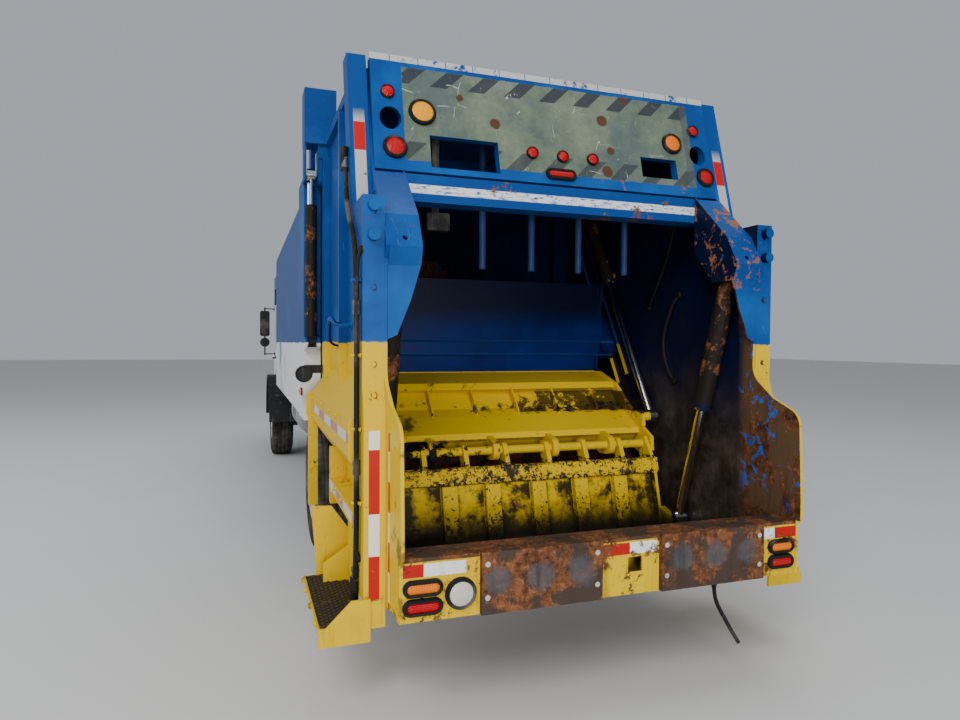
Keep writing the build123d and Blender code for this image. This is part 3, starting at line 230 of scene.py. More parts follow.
def makeRustGroup():
    # patches where a coarse noise passes a level set by Amount, ragged at the edge, three browns inside
    tree, net, given, out = newGroup(
        "rustPatches", [("Vector", "vector", None), ("Scale", "value", 3.0), ("Amount", "value", 0.3)],
        [("Mask", "value"), ("Colour", "colour"), ("Height", "value")])
    coarse = net.noise(given["Vector"], given["Scale"], 6.0, 0.62, 0.3)
    fine = net.noise(given["Vector"], net.mul(given["Scale"], 9.0), 5.0, 0.7)
    field = net.add(net.mul(coarse, 0.78), net.mul(fine, 0.22))
    level = net.sub(0.78, net.mul(given["Amount"], 0.5))
    mask = net.math("MULTIPLY", net.sub(field, level), 22.0, True)
    shade = net.noise(given["Vector"], net.mul(given["Scale"], 5.0), 6.0, 0.7)
    brown = net.mix(net.step(shade, 0.35, 0.62), (0.045, 0.018, 0.010), (0.20, 0.075, 0.030))
    brown = net.mix(net.step(fine, 0.55, 0.72), brown, (0.34, 0.15, 0.065))
    net.put(out["Mask"], mask)
    net.put(out["Colour"], brown)
    net.put(out["Height"], net.mul(mask, net.add(fine, shade)))
    return tree


def makeChipGroup():
    # sharp-edged flakes where a ragged and a coarse noise together pass a level set by Amount
    tree, net, given, out = newGroup(
        "paintChips", [("Vector", "vector", None), ("Scale", "value", 20.0), ("Amount", "value", 0.3)],
        [("Mask", "value")])
    warped = net.shaken(given["Vector"], net.mul(given["Scale"], 1.3), 0.06)
    ragged = net.noise(warped, given["Scale"], 8.0, 0.75)
    coarse = net.noise(given["Vector"], net.mul(given["Scale"], 0.18), 3.0, 0.6)
    field = net.add(net.mul(ragged, 0.62), net.mul(coarse, 0.38))
    mask = net.math("MULTIPLY", net.sub(field, net.sub(0.74, net.mul(given["Amount"], 0.42))), 40.0, True)
    net.put(out["Mask"], mask)
    return tree


def makeGrimeGroup():
    # soft dirt: two noises, one drawn out downwards as runs, gathered by Amount
    tree, net, given, out = newGroup(
        "grime", [("Vector", "vector", None), ("Scale", "value", 2.0), ("Amount", "value", 0.4)],
        [("Mask", "value"), ("Runs", "value")])
    cloud = net.noise(given["Vector"], given["Scale"], 6.0, 0.6, 0.2)
    drawn = net.scaled(given["Vector"], 1.0, 1.0, 0.10)
    runs = net.noise(drawn, net.mul(given["Scale"], 7.0), 5.0, 0.65)
    low = net.sub(0.72, net.mul(given["Amount"], 0.42))
    net.put(out["Mask"], net.math("MULTIPLY", net.sub(cloud, low), 4.5, True))
    net.put(out["Runs"], net.math("MULTIPLY", net.sub(runs, low), 6.0, True))
    return tree


rustGroup = makeRustGroup()
chipGroup = makeChipGroup()
grimeGroup = makeGrimeGroup()


class Finish(Net):
    # a material under way: its places in the truck's frame, its colour, gloss and relief so far

    def __init__(self, name, roughness=0.5, metallic=0.0):
        self.material = bpy.data.materials.new(name)
        self.material.use_nodes = True
        super().__init__(self.material.node_tree)
        self.shader = self.tree.nodes["Principled BSDF"]
        self.shader.inputs["Specular IOR Level"].default_value = 0.12
        coords = self.node("ShaderNodeTexCoord")
        self.place = coords.outputs["Object"]
        self.x, self.y, self.z = self.parts(self.place)
        self.nx, self.ny, self.nz = self.parts(coords.outputs["Normal"])
        self.colour = (0.5, 0.5, 0.5)
        self.roughness = roughness
        self.metallic = metallic
        self.heights = []

    def inward(self):
        # 1 where a face looks towards the truck's middle plane
        return self.math("LESS_THAN", self.mul(self.nx, self.x), -0.02)

    def box(self, x=None, y=None, z=None, soft=0.004):
        # 1 inside the box of stretches given, 0 outside
        mask = None
        for value, stretch in ((self.x, x), (self.y, y), (self.z, z)):
            if stretch is None:
                continue
            part = self.band(value, min(stretch), max(stretch), soft)
            mask = part if mask is None else self.mul(mask, part)
        return mask

    def paint(self, mask, colour):
        self.colour = self.mix(mask, self.colour, colour)

    def gloss(self, mask, roughness):
        self.roughness = self.blend(mask, self.roughness, roughness)

    def metal(self, mask, metallic):
        self.metallic = self.blend(mask, self.metallic, metallic)

    def raise_(self, height, distance):
        self.heights.append((height, distance))

    def within(self, mask, where):
        return mask if where is None else self.mul(mask, where)

    def rust(self, scale, amount, where=None, rough=0.85):
        found = self.group(rustGroup, Vector=self.place, Scale=scale, Amount=amount)
        mask = self.within(found["Mask"], where)
        self.paint(mask, found["Colour"])
        self.gloss(mask, rough)
        self.metal(mask, 0.0)
        self.raise_(self.mul(found["Height"], mask), 0.0008)

    def chips(self, scale, amount, colour, where=None, rough=0.6):
        found = self.group(chipGroup, Vector=self.place, Scale=scale, Amount=amount)
        mask = self.within(found["Mask"], where)
        self.paint(mask, colour)
        self.gloss(mask, rough)
        self.raise_(self.mul(mask, -1.0), 0.0005)

    def grime(self, scale, amount, colour, where=None, runs=0.5, rough=0.8):
        found = self.group(grimeGroup, Vector=self.place, Scale=scale, Amount=amount)
        mask = self.within(self.blend(runs, found["Mask"], found["Runs"]), where)
        self.paint(self.mul(mask, 0.75), colour)
        self.gloss(mask, rough)

    def cloud(self, scale, low, high, detail=6.0, rough=0.6):
        # a noise, cut to 0 at low and 1 at high
        return self.step(self.noise(self.place, scale, detail, rough), low, high)

    def ragged(self, value, scale, detail, rough, reach):
        # the value shifted by up to reach, for an uneven edge
        return self.add(value, self.mul(self.noise(self.place, scale, detail, rough), reach))

    def away(self, x, z):
        # distance across and up from a point
        across, up = self.sub(self.x, x), self.sub(self.z, z)
        return self.math("SQRT", self.add(self.mul(across, across), self.mul(up, up)))

    def stain(self, scale, level, colour, where=None, bias=None, soft=0.05, strength=1.0, rough=0.75):
        # ragged stain where a noise, raised by bias, passes level
        field = self.noise(self.place, scale, 8.0, 0.72, 0.3)
        if bias is not None:
            field = self.add(field, bias)
        mask = self.within(self.step(field, level, level + soft), where)
        self.paint(self.mul(mask, strength), colour)
        self.gloss(mask, rough)
        return mask

    def scratches(self, scale, colour, where=None, strength=0.6):
        # thin light lines along the borders of warped cells
        warped = self.shaken(self.place, scale * 0.8, 0.5 / scale)
        lines = self.step(self.edges(warped, scale), 0.008, 0.002)
        thin = self.mul(lines, self.step(self.noise(self.place, scale * 1.7, 3.0, 0.6), 0.56, 0.62))
        self.paint(self.mul(self.within(thin, where), strength), colour)

    def done(self):
        self.put(self.shader.inputs["Base Color"], self.colour)
        self.put(self.shader.inputs["Roughness"], self.roughness)
        self.put(self.shader.inputs["Metallic"], self.metallic)
        normal = None
        for height, distance in self.heights:
            bump = self.node("ShaderNodeBump")
            bump.inputs["Distance"].default_value = distance
            bump.inputs["Strength"].default_value = 0.8
            self.put(bump.inputs["Height"], height)
            if normal is not None:
                self.put(bump.inputs["Normal"], normal)
            normal = bump.outputs[0]
        if normal is not None:
            self.put(self.shader.inputs["Normal"], normal)
        return self.material


# Colours, linear
colours = {
    "blue": (0.002, 0.050, 0.215), "blueFaded": (0.010, 0.105, 0.36), "blueBright": (0.010, 0.130, 0.62),
    "navy": (0.002, 0.006, 0.032), "yellow": (0.66, 0.43, 0.0), "yellowDark": (0.32, 0.20, 0.001),
    "white": (0.72, 0.73, 0.74), "dust": (0.36, 0.32, 0.26), "soot": (0.010, 0.009, 0.008),
    "tapeRed": (0.42, 0.010, 0.006), "tapeWhite": (0.74, 0.74, 0.72), "brown": (0.055, 0.036, 0.027),
}

# Tailgate paint: where its edge and its tapes lie, as stretches in height, across or along the truck
tailgateLook = {
    "paintEdge": (1.722, 1.730), "hopperEdge": (2.05, 1.45), "earFrom": (4.29, 4.36), "earBelow": (2.0, 1.85),
    "postFrom": (4.28, 4.30), "postTape": (1.078, 1.126), "postRun": (0.530, 1.299),
    "postRed": (0.921, 1.213), "postRedFoot": (0.729, 0.727), "narrowTape": (1.047, 1.056),
    "narrowAlong": (4.44, 4.475), "narrowRun": (0.50, 1.30), "narrowPiece": 0.27, "rakedFrom": (3.90, 3.92),
    "rakedTape": (1.072, 1.128), "rakedRun": (2.372, 3.19), "rakedRed": (2.672, 2.824),
    "upperBeam": (1.205, 1.256), "lowerBeam": (0.797, 0.845), "beamRun": (2.42, 4.12), "beamPiece": 0.62,
    "foldAcross": (-1.06, -0.86), "foldRun": (2.02, 2.52),
}


def tailgateFinish():
    made, look = Finish("tailgatePaint", 0.42), tailgateLook
    upper = made.step(made.ragged(made.z, 9.0, 6.0, 0.7, 0.05), *look["paintEdge"])
    made.colour = made.mix(upper, colours["yellow"], colours["blue"])
    fade = made.noise(made.place, 1.7, 6.0, 0.6)
    made.paint(made.mul(upper, made.step(fade, 0.50, 0.75)), colours["blueFaded"])
    # inside of the hopper
    inside = made.inward()
    low = made.step(made.add(made.z, made.mul(fade, 0.8)), *look["hopperEdge"])
    steel = made.mix(made.cloud(5.0, 0.4, 0.62, 7.0, 0.7), (0.016, 0.013, 0.011), (0.075, 0.055, 0.042))
    made.paint(inside, made.mix(low, colours["navy"], steel))
    ear = made.step(made.add(made.y, made.mul(fade, 0.12)), *look["earFrom"])
    ear = made.product(ear, made.step(made.z, *look["earBelow"]), inside)
    made.paint(ear, (0.105, 0.060, 0.034))
    made.rust(3.0, 0.60, ear)
    patches = made.step(made.noise(made.place, 7.0, 6.0, 0.7, 0.6), 0.56, 0.60)
    made.paint(made.product(ear, patches, made.step(made.z, 0.8, 1.0)), colours["blueBright"])
    # wear all over
    outside = made.but(inside)
    blues, yellows = made.mul(outside, upper), made.mul(outside, made.but(upper))
    made.stain(5.0, 0.62, (0.10, 0.060, 0.020), yellows,
               made.mul(made.step(made.z, 1.2, 0.4), 0.10), 0.06, 0.75)
    made.chips(26.0, 0.27, (0.06, 0.04, 0.03), outside)
    made.rust(4.0, 0.20, outside)
    made.grime(2.4, 0.12, colours["yellowDark"], yellows, 0.6)
    made.grime(2.4, 0.14, colours["navy"], blues, 0.7)
    made.grime(3.0, 0.55, colours["soot"], inside, 0.4)
    # tape: a broad band down each post's rear face, a narrow one beside it, white on the raked post
    rear, across = made.step(made.ny, 0.5, 0.8), made.math("ABSOLUTE", made.x)
    worn = made.cloud(30.0, 0.70, 0.64, 6.0, 0.75)
    post = made.product(rear, made.step(made.y, *look["postFrom"]),
                        made.band(across, *look["postTape"], 0.002),
                        made.band(made.z, *look["postRun"], 0.002), worn)
    reds = made.most(made.band(made.z, *look["postRed"], 0.001), made.step(made.z, *look["postRedFoot"]))
    made.paint(post, made.mix(reds, colours["tapeWhite"], colours["tapeRed"]))
    narrow = made.product(made.band(across, *look["narrowTape"], 0.001),
                          made.band(made.y, *look["narrowAlong"], 0.001),
                          made.band(made.z, *look["narrowRun"], 0.002), worn)
    turns = made.turns(made.z, look["narrowPiece"])
    made.paint(narrow, made.mix(turns, (0.80, 0.62, 0.30), colours["tapeRed"]))
    raked = made.product(rear, made.step(made.y, *look["rakedFrom"]),
                         made.band(across, *look["rakedTape"], 0.002),
                         made.band(made.z, *look["rakedRun"], 0.002))
    made.paint(raked, (0.42, 0.41, 0.38))
    made.paint(made.mul(raked, made.band(made.z, *look["rakedRed"], 0.002)), (0.46, 0.010, 0.010))
    # pale and red in turn along both side beams' outer faces
    sideward = made.step(made.mul(made.nx, made.math("SIGN", made.x)), 0.5, 0.8)
    upperBeam = made.mul(made.band(made.z, *look["upperBeam"], 0.001), made.step(across, 1.176, 1.178))
    lowerBeam = made.product(made.band(made.z, *look["lowerBeam"], 0.001), made.step(across, 1.146, 1.148),
                             made.step(across, 1.156, 1.154))
    beams = made.product(made.most(upperBeam, lowerBeam), sideward,
                         made.band(made.y, *look["beamRun"], 0.002), worn)
    made.paint(beams, made.mix(made.turns(made.y, look["beamPiece"]), (0.60, 0.58, 0.52), (0.46, 0.20, 0.19)))
    # rust and bare metal round the right ear's folds, and runs of dirt down the posts' edges
    fold = made.mul(made.box(x=look["foldAcross"], z=look["foldRun"], soft=0.02),
                    made.step(made.y, 4.0, 4.02))
    made.raise_(made.stain(9.0, 0.545, (0.26, 0.105, 0.040), fold, soft=0.02), -0.0006)
    made.stain(14.0, 0.66, (0.12, 0.045, 0.02), made.mul(outside, rear), soft=0.02)
    made.scratches(5.0, (0.16, 0.26, 0.42), blues, 0.30)
    made.scratches(6.0, (0.20, 0.12, 0.01), yellows, 0.30)
    return made.done()


def clouded(name, roughness, colour, scale, low, high, second):
    # a plain paint with clouds of a second colour
    made = Finish(name, roughness)
    made.colour = colour
    made.paint(made.cloud(scale, low, high), second)
    return made


def bodyFinish():
    made = Finish("bodyPaint", 0.4)
    upper = made.step(made.ragged(made.z, 2.0, 4.0, 0.6, 0.04), 1.71, 1.716)
    made.colour = made.mix(upper, colours["white"], colours["blue"])
    made.paint(made.mul(upper, made.cloud(1.3, 0.5, 0.8)), colours["blueFaded"])
    # painted reflections: faded blue blotches on the white lower half stand for nearby blue vehicles mirrored
    # in the glossy side
    made.paint(made.product(made.but(upper), made.cloud(1.3, 0.56, 0.64), 0.8), colours["blueFaded"])
    made.rust(3.0, 0.16)
    made.chips(22.0, 0.16, (0.08, 0.06, 0.05))
    made.grime(1.5, 0.22, colours["dust"], None, 0.7)
    return made.done()


def yellowFinish():
    made = clouded("yellowPaint", 0.42, colours["yellow"], 2.0, 0.5, 0.8, (0.58, 0.36, 0.0))
    made.chips(30.0, 0.30, (0.05, 0.035, 0.03))
    made.rust(4.0, 0.26)
    made.grime(3.0, 0.40, colours["soot"], None, 0.5)
    return made.done()


# Carriage paint: heights of its edge, of the two painted highlights along the blue panel's step edges and of
# the yellow part's zones
carriageLook = {"paintEdge": (1.492, 1.496), "darkFrom": (1.80, 1.95), "lines": (1.616, 1.714),
                "ribs": (1.240, 1.362), "ribFoot": (1.235, 1.285), "shelf": (1.120, 1.235),
                "recess": (1.110, 1.095)}


def carriageFinish():
    made, look = Finish("carriagePaint", 0.38), carriageLook
    upper = made.step(made.z, *look["paintEdge"])
    made.colour = made.mix(upper, colours["yellow"], (0.0, 0.014, 0.125))
    made.paint(made.mul(upper, made.cloud(2.2, 0.42, 0.75)), (0.0, 0.005, 0.055))
    made.paint(made.mul(upper, made.step(made.z, *look["darkFrom"])), (0.001, 0.004, 0.020))
    # painted highlights: lighter blue lines where the blue panel's step edges catch the light
    for z in look["lines"]:
        made.paint(made.product(upper, made.band(made.z, z - 0.005, z + 0.007, 0.003), 0.7),
                   (0.020, 0.075, 0.28))
    lower = made.but(upper)
    # oily dirt gathers towards the right end of the ribs and the left end of the shelf and the recess
    rightward, leftward = made.step(made.x, 0.55, -0.95), made.step(made.x, 0.10, 0.75)
    ribs = made.mul(lower, made.band(made.z, *look["ribs"], 0.006))
    foot = made.mul(lower, made.band(made.z, *look["ribFoot"], 0.01))
    shelf = made.mul(lower, made.band(made.z, *look["shelf"], 0.006))
    recess = made.mul(lower, made.step(made.z, *look["recess"]))
    made.stain(6.0, 0.62, (0.030, 0.020, 0.008), ribs, made.mul(rightward, 0.26), 0.05, 0.92)
    made.stain(9.0, 0.62, colours["soot"], foot, made.mul(rightward, 0.15), 0.03)
    made.stain(5.0, 0.70, colours["soot"], shelf, made.mul(made.step(made.x, 0.45, 0.85), 0.30), 0.10, 0.85)
    made.stain(7.0, 0.60, (0.12, 0.065, 0.034), recess, None, 0.04)
    made.stain(8.0, 0.66, colours["soot"], recess, made.mul(leftward, 0.30), 0.03)
    made.chips(24.0, 0.34, (0.05, 0.03, 0.02), lower)
    made.chips(40.0, 0.24, (0.04, 0.03, 0.02), made.mul(lower, made.but(made.step(made.ny, 0.2, 0.6))))
    made.rust(4.0, 0.12, upper)
    made.grime(2.5, 0.25, colours["soot"], upper, 0.4)
    made.scratches(7.0, (0.02, 0.07, 0.22), upper, 0.25)
    return made.done()


# Blade paint: heights of the bar, of the hats below it and the eyes above it, the hats' places across
bladeLook = {"bar": (0.865, 0.975), "barMiddle": 0.920, "hats": (0.868, 0.862), "eyes": (0.972, 0.980),
             "hatPlaces": (0.528, 0.262, -0.037, -0.322, -0.600), "hatHalf": 0.046, "panelEnd": (0.86, 0.85)}


def bladeFinish():
    made = clouded("bladePaint", 0.42, colours["yellow"], 3.0, 0.48, 0.75, (0.60, 0.38, 0.0))
    look = bladeLook
    bar = made.band(made.z, *look["bar"], 0.004)
    below, eyes = made.step(made.z, *look["hats"]), made.step(made.z, *look["eyes"])
    # chips crowd along the bar's two edges
    rim = made.math("ABSOLUTE", made.mul(made.sub(made.z, look["barMiddle"]), 1 / 0.055))
    made.stain(46.0, 0.60, (0.022, 0.018, 0.016), bar, made.mul(rim, 0.13), 0.015, rough=0.5)
    made.chips(30.0, 0.50, (0.030, 0.024, 0.020), bar, 0.5)
    hats = 0.0
    for x in look["hatPlaces"]:
        hats = made.most(hats, made.band(made.x, x - look["hatHalf"], x + look["hatHalf"], 0.001))
    gaps = made.product(below, made.but(hats), made.step(made.math("ABSOLUTE", made.x), *look["panelEnd"]))
    hats = made.mul(below, hats)
    made.stain(40.0, 0.585, (0.024, 0.018, 0.015), hats, made.mul(made.step(made.z, 0.80, 0.62), 0.08),
               0.015, rough=0.5)
    # the panel between the hats is darkest beside them
    beside = made.math("PINGPONG", made.add(made.x, -0.112), 0.1425)
    dark = made.add(made.noise(made.place, 9.0, 7.0, 0.72), made.mul(made.step(beside, 0.05, 0.12), 0.16))
    made.paint(made.mul(gaps, made.step(dark, 0.44, 0.60)), (0.034, 0.024, 0.006))
    made.rust(6.0, 0.34, below)
    made.stain(5.0, 0.60, (0.09, 0.050, 0.028), eyes, None, 0.05)
    made.stain(6.0, 0.62, colours["soot"], eyes, made.mul(made.step(made.x, 0.1, 0.7), 0.2), 0.04)
    # wet dark grime climbs from the bottom and lies in the corners
    climb = made.ragged(made.z, 6.0, 6.0, 0.7, 0.20)
    made.paint(made.mul(made.step(climb, 0.86, 0.70), 0.92), (0.030, 0.026, 0.004))
    made.paint(made.mul(made.step(climb, 0.76, 0.66), 0.9), colours["soot"])
    made.gloss(made.step(climb, 0.83, 0.70), 0.35)
    made.raise_(made.noise(made.place, 46.0, 7.0, 0.75), 0.0004)
    return made.done()


# Fascia paint: the sheet's stretches, its dark bars, rust spots as (X, Z, reach), strips at top and foot
fasciaLook = {"sheetAcross": (-0.905, 0.868), "sheetRun": (2.648, 3.168), "barPitch": 0.212,
              "bar": (0.12, 0.56), "barsAbove": (3.062, 3.066), "barsBelow": (2.742, 2.738),
              "edge": (-0.905, -0.86), "spots": [(0.554, 3.02, 0.020), (0.36, 2.895, 0.030),
                                                 (-0.307, 2.682, 0.034), (-0.309, 2.994, 0.034),
                        (-0.344, 2.811, 0.024), (-0.471, 3.144, 0.024)],
              "topStrip": (3.182, 3.185), "stripPiece": 0.155, "foot": (2.70, 2.60)}


def fasciaFinish():
    # blue, with a worn grey-green sheet on its rear face and dark slanting bars along the sheet's edges
    made, look = clouded("fasciaPaint", 0.38, colours["blue"], 1.6, 0.5, 0.75,
                         colours["blueFaded"]), fasciaLook
    rear = made.step(made.ny, 0.5, 0.8)
    sheet = made.product(rear, made.band(made.x, *look["sheetAcross"], 0.003),
                         made.band(made.ragged(made.z, 26.0, 6.0, 0.75, 0.020), *look["sheetRun"], 0.004))
    made.paint(sheet, made.mix(made.cloud(5.0, 0.38, 0.66, 7.0, 0.72), (0.082, 0.115, 0.088),
                               (0.165, 0.200, 0.140)))
    made.paint(made.product(sheet, made.cloud(2.0, 0.50, 0.62, 5.0), 0.55), (0.070, 0.095, 0.110))
    slant = made.add(made.x, made.mul(made.z, 1.05))
    bars = made.band(made.math("FRACT", made.mul(slant, 1 / look["barPitch"])), *look["bar"], 0.012)
    rims = made.most(made.step(made.z, *look["barsAbove"]),
                     made.mul(made.step(made.z, *look["barsBelow"]), 0.8))
    made.paint(made.product(sheet, bars, rims, 0.85), (0.026, 0.030, 0.042))
    made.paint(made.product(sheet, made.band(made.x, *look["edge"], 0.004), 0.6), (0.06, 0.07, 0.08))
    made.scratches(4.0, (0.50, 0.54, 0.46), sheet, 0.75)
    made.scratches(9.0, (0.42, 0.46, 0.40), sheet, 0.5)
    # torn places: bare white-grey, blue showing through, rust
    made.stain(7.0, 0.665, (0.46, 0.47, 0.42), sheet, None, 0.015)
    made.stain(6.0, 0.69, colours["blue"], sheet, None, 0.01)
    made.stain(16.0, 0.715, (0.14, 0.07, 0.03), sheet, None, 0.01)
    for x, z, reach in look["spots"]:
        away = made.ragged(made.away(x, z), 30.0, 5.0, 0.7, 0.02)
        made.paint(made.mul(rear, made.step(away, reach + 0.014, reach + 0.006)), (0.085, 0.040, 0.022))
    # worn white strip along the top, rust along the foot
    strip = made.mul(made.step(made.z, *look["topStrip"]), made.cloud(12.0, 0.62, 0.56, 6.0, 0.75))
    seam = made.sub(made.math("FRACT", made.mul(made.x, 1 / look["stripPiece"])), 0.5)
    made.paint(made.mul(strip, made.step(made.math("ABSOLUTE", seam), 0.49, 0.48)), (0.46, 0.45, 0.43))
    foot = made.mul(rear, made.step(made.z, *look["foot"]))
    made.stain(6.0, 0.60, (0.24, 0.095, 0.035), foot, None, 0.02)
    made.stain(11.0, 0.63, (0.07, 0.03, 0.018), foot, None, 0.02)
    made.chips(30.0, 0.26, (0.07, 0.04, 0.03))
    return made.done()


def crossbarFinish():
    made = clouded("roofPaint", 0.42, colours["blue"], 1.8, 0.5, 0.8, colours["blueFaded"])
    strip = made.mul(made.band(made.z, 2.47, 2.512, 0.003), made.step(made.y, 3.99, 3.995))
    worn = made.step(made.noise(made.scaled(made.place, 1.0, 1.0, 5.0), 16.0, 6.0, 0.75), 0.60, 0.52)
    made.paint(made.mul(strip, worn), (0.66, 0.68, 0.70))
    made.rust(5.0, 0.36)
    made.grime(2.2, 0.45, colours["dust"], made.step(made.nz, 0.5, 0.9), 0.2)
    made.chips(26.0, 0.22, (0.06, 0.04, 0.03))
    return made.done()


def hopperFinish():
    made = Finish("hopperSteel", 0.55, 0.35)
    made.colour = made.mix(made.cloud(4.0, 0.4, 0.65, 7.0, 0.7), (0.05, 0.04, 0.034), (0.17, 0.14, 0.12))
    made.rust(3.5, 0.70)
    scratch = made.noise(made.scaled(made.place, 14.0, 1.0, 1.0), 6.0, 4.0, 0.7)
    made.paint(made.step(scratch, 0.60, 0.70), (0.26, 0.23, 0.21))
    made.grime(3.0, 0.6, colours["soot"], None, 0.3)
    return made.done()


# Sill paint: the two bumper plates, their rubbed rounds as (X, Z, reach), their pins, and the tape's pieces
sillLook = {"plates": [(0.108, 0.695), (-0.806, -0.210)], "platesFrom": (4.671, 4.674), "lip": (0.782, 0.786),
            "rounds": [(0.61, 0.675, 0.066), (0.42, 0.665, 0.070), (0.215, 0.675, 0.074),
                       (-0.325, 0.685, 0.066), (-0.515, 0.675, 0.070), (-0.705, 0.68, 0.062)],
            "pinsAcross": (0.135, 0.668, -0.237, -0.779), "pinsHigh": (0.602, 0.748), "tape": (0.715, 0.768),
            "tapePieces": [(0.944, 1.051, "tapeRed"), (0.758, 0.944, "tapeWhite"), (-0.052, 0.097, "tapeRed"),
                           (-0.199, -0.052, "tapeWhite"), (-0.900, -0.815, "tapeWhite"),
                           (-1.035, -0.900, "tapeRed")]}


def sillFinish():
    made, look = Finish("sillPaint", 0.5), sillLook
    made.colour = colours["yellow"]
    cloud = made.noise(made.place, 3.0, 6.0, 0.65)
    made.paint(made.step(cloud, 0.5, 0.8), (0.62, 0.36, 0.004))
    rear, top = made.step(made.ny, 0.5, 0.8), made.step(made.nz, 0.5, 0.8)
    plates = made.most(*(made.box(x=plate) for plate in look["plates"]))
    plates = made.mul(plates, made.step(made.y, *look["platesFrom"]))
    lip = made.step(made.add(made.z, made.mul(cloud, 0.012)), *look["lip"])
    bare = made.most(made.most(plates, top), made.mul(rear, lip))
    made.paint(bare, colours["brown"])
    made.rust(5.0, 0.62, bare, 0.75)
    for x, z, reach in look["rounds"]:
        away = made.ragged(made.away(x, z), 11.0, 7.0, 0.75, 0.11)
        made.paint(made.product(plates, made.step(away, reach + 0.062, reach + 0.036), 0.70),
                   (0.070, 0.075, 0.085))
    for x in look["pinsAcross"]:
        for z in look["pinsHigh"]:
            made.paint(made.mul(plates, made.step(made.away(x, z), 0.013, 0.011)), (0.42, 0.42, 0.42))
    strip = made.product(rear, made.but(plates), made.band(made.z, *look["tape"], 0.002))
    for low, high, kind in look["tapePieces"]:
        made.paint(made.mul(strip, made.box(x=(low, high), soft=0.002)), colours[kind])
    painted = made.but(bare)
    made.chips(26.0, 0.42, (0.05, 0.03, 0.02), painted)
    made.rust(5.0, 0.42, painted)
    made.grime(3.0, 0.45, colours["soot"], None, 0.5)
    return made.done()


def cylinderFinish():
    made = Finish("cylinderPaint", 0.5)
    made.colour = made.mix(made.step(made.z, 1.30, 1.36), (0.002, 0.010, 0.045), (0.016, 0.012, 0.010))
    made.rust(4.5, 0.52)
    made.grime(4.0, 0.12, (0.10, 0.080, 0.060), None, 0.6)
    return made.done()


def rodFinish():
    made = Finish("rodChrome", 0.16, 1.0)
    made.colour = (0.72, 0.74, 0.76)
    streaks = made.noise(made.scaled(made.place, 6.0, 1.0, 0.6), 9.0, 5.0, 0.7)
    mask = made.step(streaks, 0.60, 0.72)
    made.paint(mask, (0.12, 0.09, 0.07))
    made.gloss(mask, 0.5)
    return made.done()


def cabFinish():
    made = Finish("cabPaint", 0.32)
    upper = made.step(made.z, 2.30, 2.303)
    made.colour = made.mix(upper, (0.76, 0.77, 0.78), colours["blue"])
    made.grime(1.6, 0.42, colours["dust"], made.step(made.z, 2.0, 1.2), 0.6)
    made.rust(4.0, 0.08)
    made.chips(24.0, 0.12, (0.10, 0.08, 0.07))
    return made.done()


def blackFinish(name, colour, roughness, dust):
    made = Finish(name, roughness)
    made.colour = made.mix(made.noise(made.place, 12.0, 5.0, 0.6), colour,
                           tuple(1.8 * part for part in colour))
    made.grime(2.2, dust, colours["dust"], None, 0.4)
    made.rust(5.0, dust * 0.45)
    made.raise_(made.noise(made.place, 160.0, 3.0, 0.6), 0.0004)
    return made.done()


def tyreFinish():
    made = Finish("tyreRubber", 0.82)
    made.colour = made.mix(made.noise(made.place, 9.0, 5.0, 0.6), (0.012, 0.012, 0.013),
                           (0.035, 0.033, 0.031))
    made.grime(3.0, 0.62, (0.20, 0.18, 0.15), None, 0.15)
    made.raise_(made.noise(made.place, 220.0, 3.0, 0.6), 0.0005)
    return made.done()


def rimFinish():
    made = Finish("rimPaint", 0.45)
    made.colour = (0.55, 0.55, 0.53)
    made.rust(7.0, 0.40)
    made.grime(5.0, 0.55, colours["dust"], None, 0.3)
    return made.done()


def metalFinish(name, colour, roughness, rust):
    made = Finish(name, roughness, 0.9)
    made.colour = made.mix(made.noise(made.scaled(made.place, 1.0, 8.0, 1.0), 9.0, 4.0, 0.6), colour,
                           tuple(0.7 * part for part in colour))
    made.rust(5.0, rust)
    made.grime(2.5, 0.4, colours["dust"], None, 0.5)
    return made.done()


def lensFinish(name, colour, glow):
    made = Finish(name, 0.18)
    ribs = made.math("SINE", made.mul(made.x, 620.0))
    rings = made.math("SINE", made.mul(made.z, 620.0))
    made.colour = made.mix(made.mul(made.add(ribs, rings), 0.25), colour,
                           tuple(min(1.0, glow * part) for part in colour))
    made.raise_(made.add(ribs, rings), 0.0006)
    made.grime(9.0, 0.45, colours["dust"], None, 0.3, 0.6)
    made.shader.inputs["Coat Weight"].default_value = 0.4
    return made.done()


def glassFinish():
    made = Finish("paneGlass", 0.06)
    made.colour = made.mix(made.noise(made.place, 3.0, 5.0, 0.6), (0.30, 0.36, 0.38), (0.42, 0.46, 0.46))
    made.shader.inputs["Alpha"].default_value = 0.35
    made.shader.inputs["Coat Weight"].default_value = 0.6
    made.gloss(made.step(made.noise(made.place, 6.0, 6.0, 0.7), 0.52, 0.75), 0.3)
    return made.done()


def lampFinish(name, deep, bright):
    # ribbed moulded lens, dusty in its grooves
    made = Finish(name, 0.16)
    ribs = made.math("SINE", made.mul(made.x, 900.0))
    grid = made.math("SINE", made.mul(made.z, 900.0))
    made.colour = made.mix(made.step(made.add(ribs, grid), -1.2, 1.6), deep, bright)
    made.raise_(made.add(ribs, grid), 0.0005)
    made.stain(14.0, 0.60, colours["dust"], None, None, 0.2, 0.35)
    made.shader.inputs["Coat Weight"].default_value = 0.15
    return made.done()


def navyFinish():
    made = Finish("navyPipe", 0.32)
    made.colour = made.mix(made.noise(made.place, 6.0, 5.0, 0.6), (0.010, 0.030, 0.110),
                           (0.030, 0.060, 0.150))
    made.rust(7.0, 0.35)
    made.grime(4.0, 0.5, colours["soot"], None, 0.4)
    return made.done()


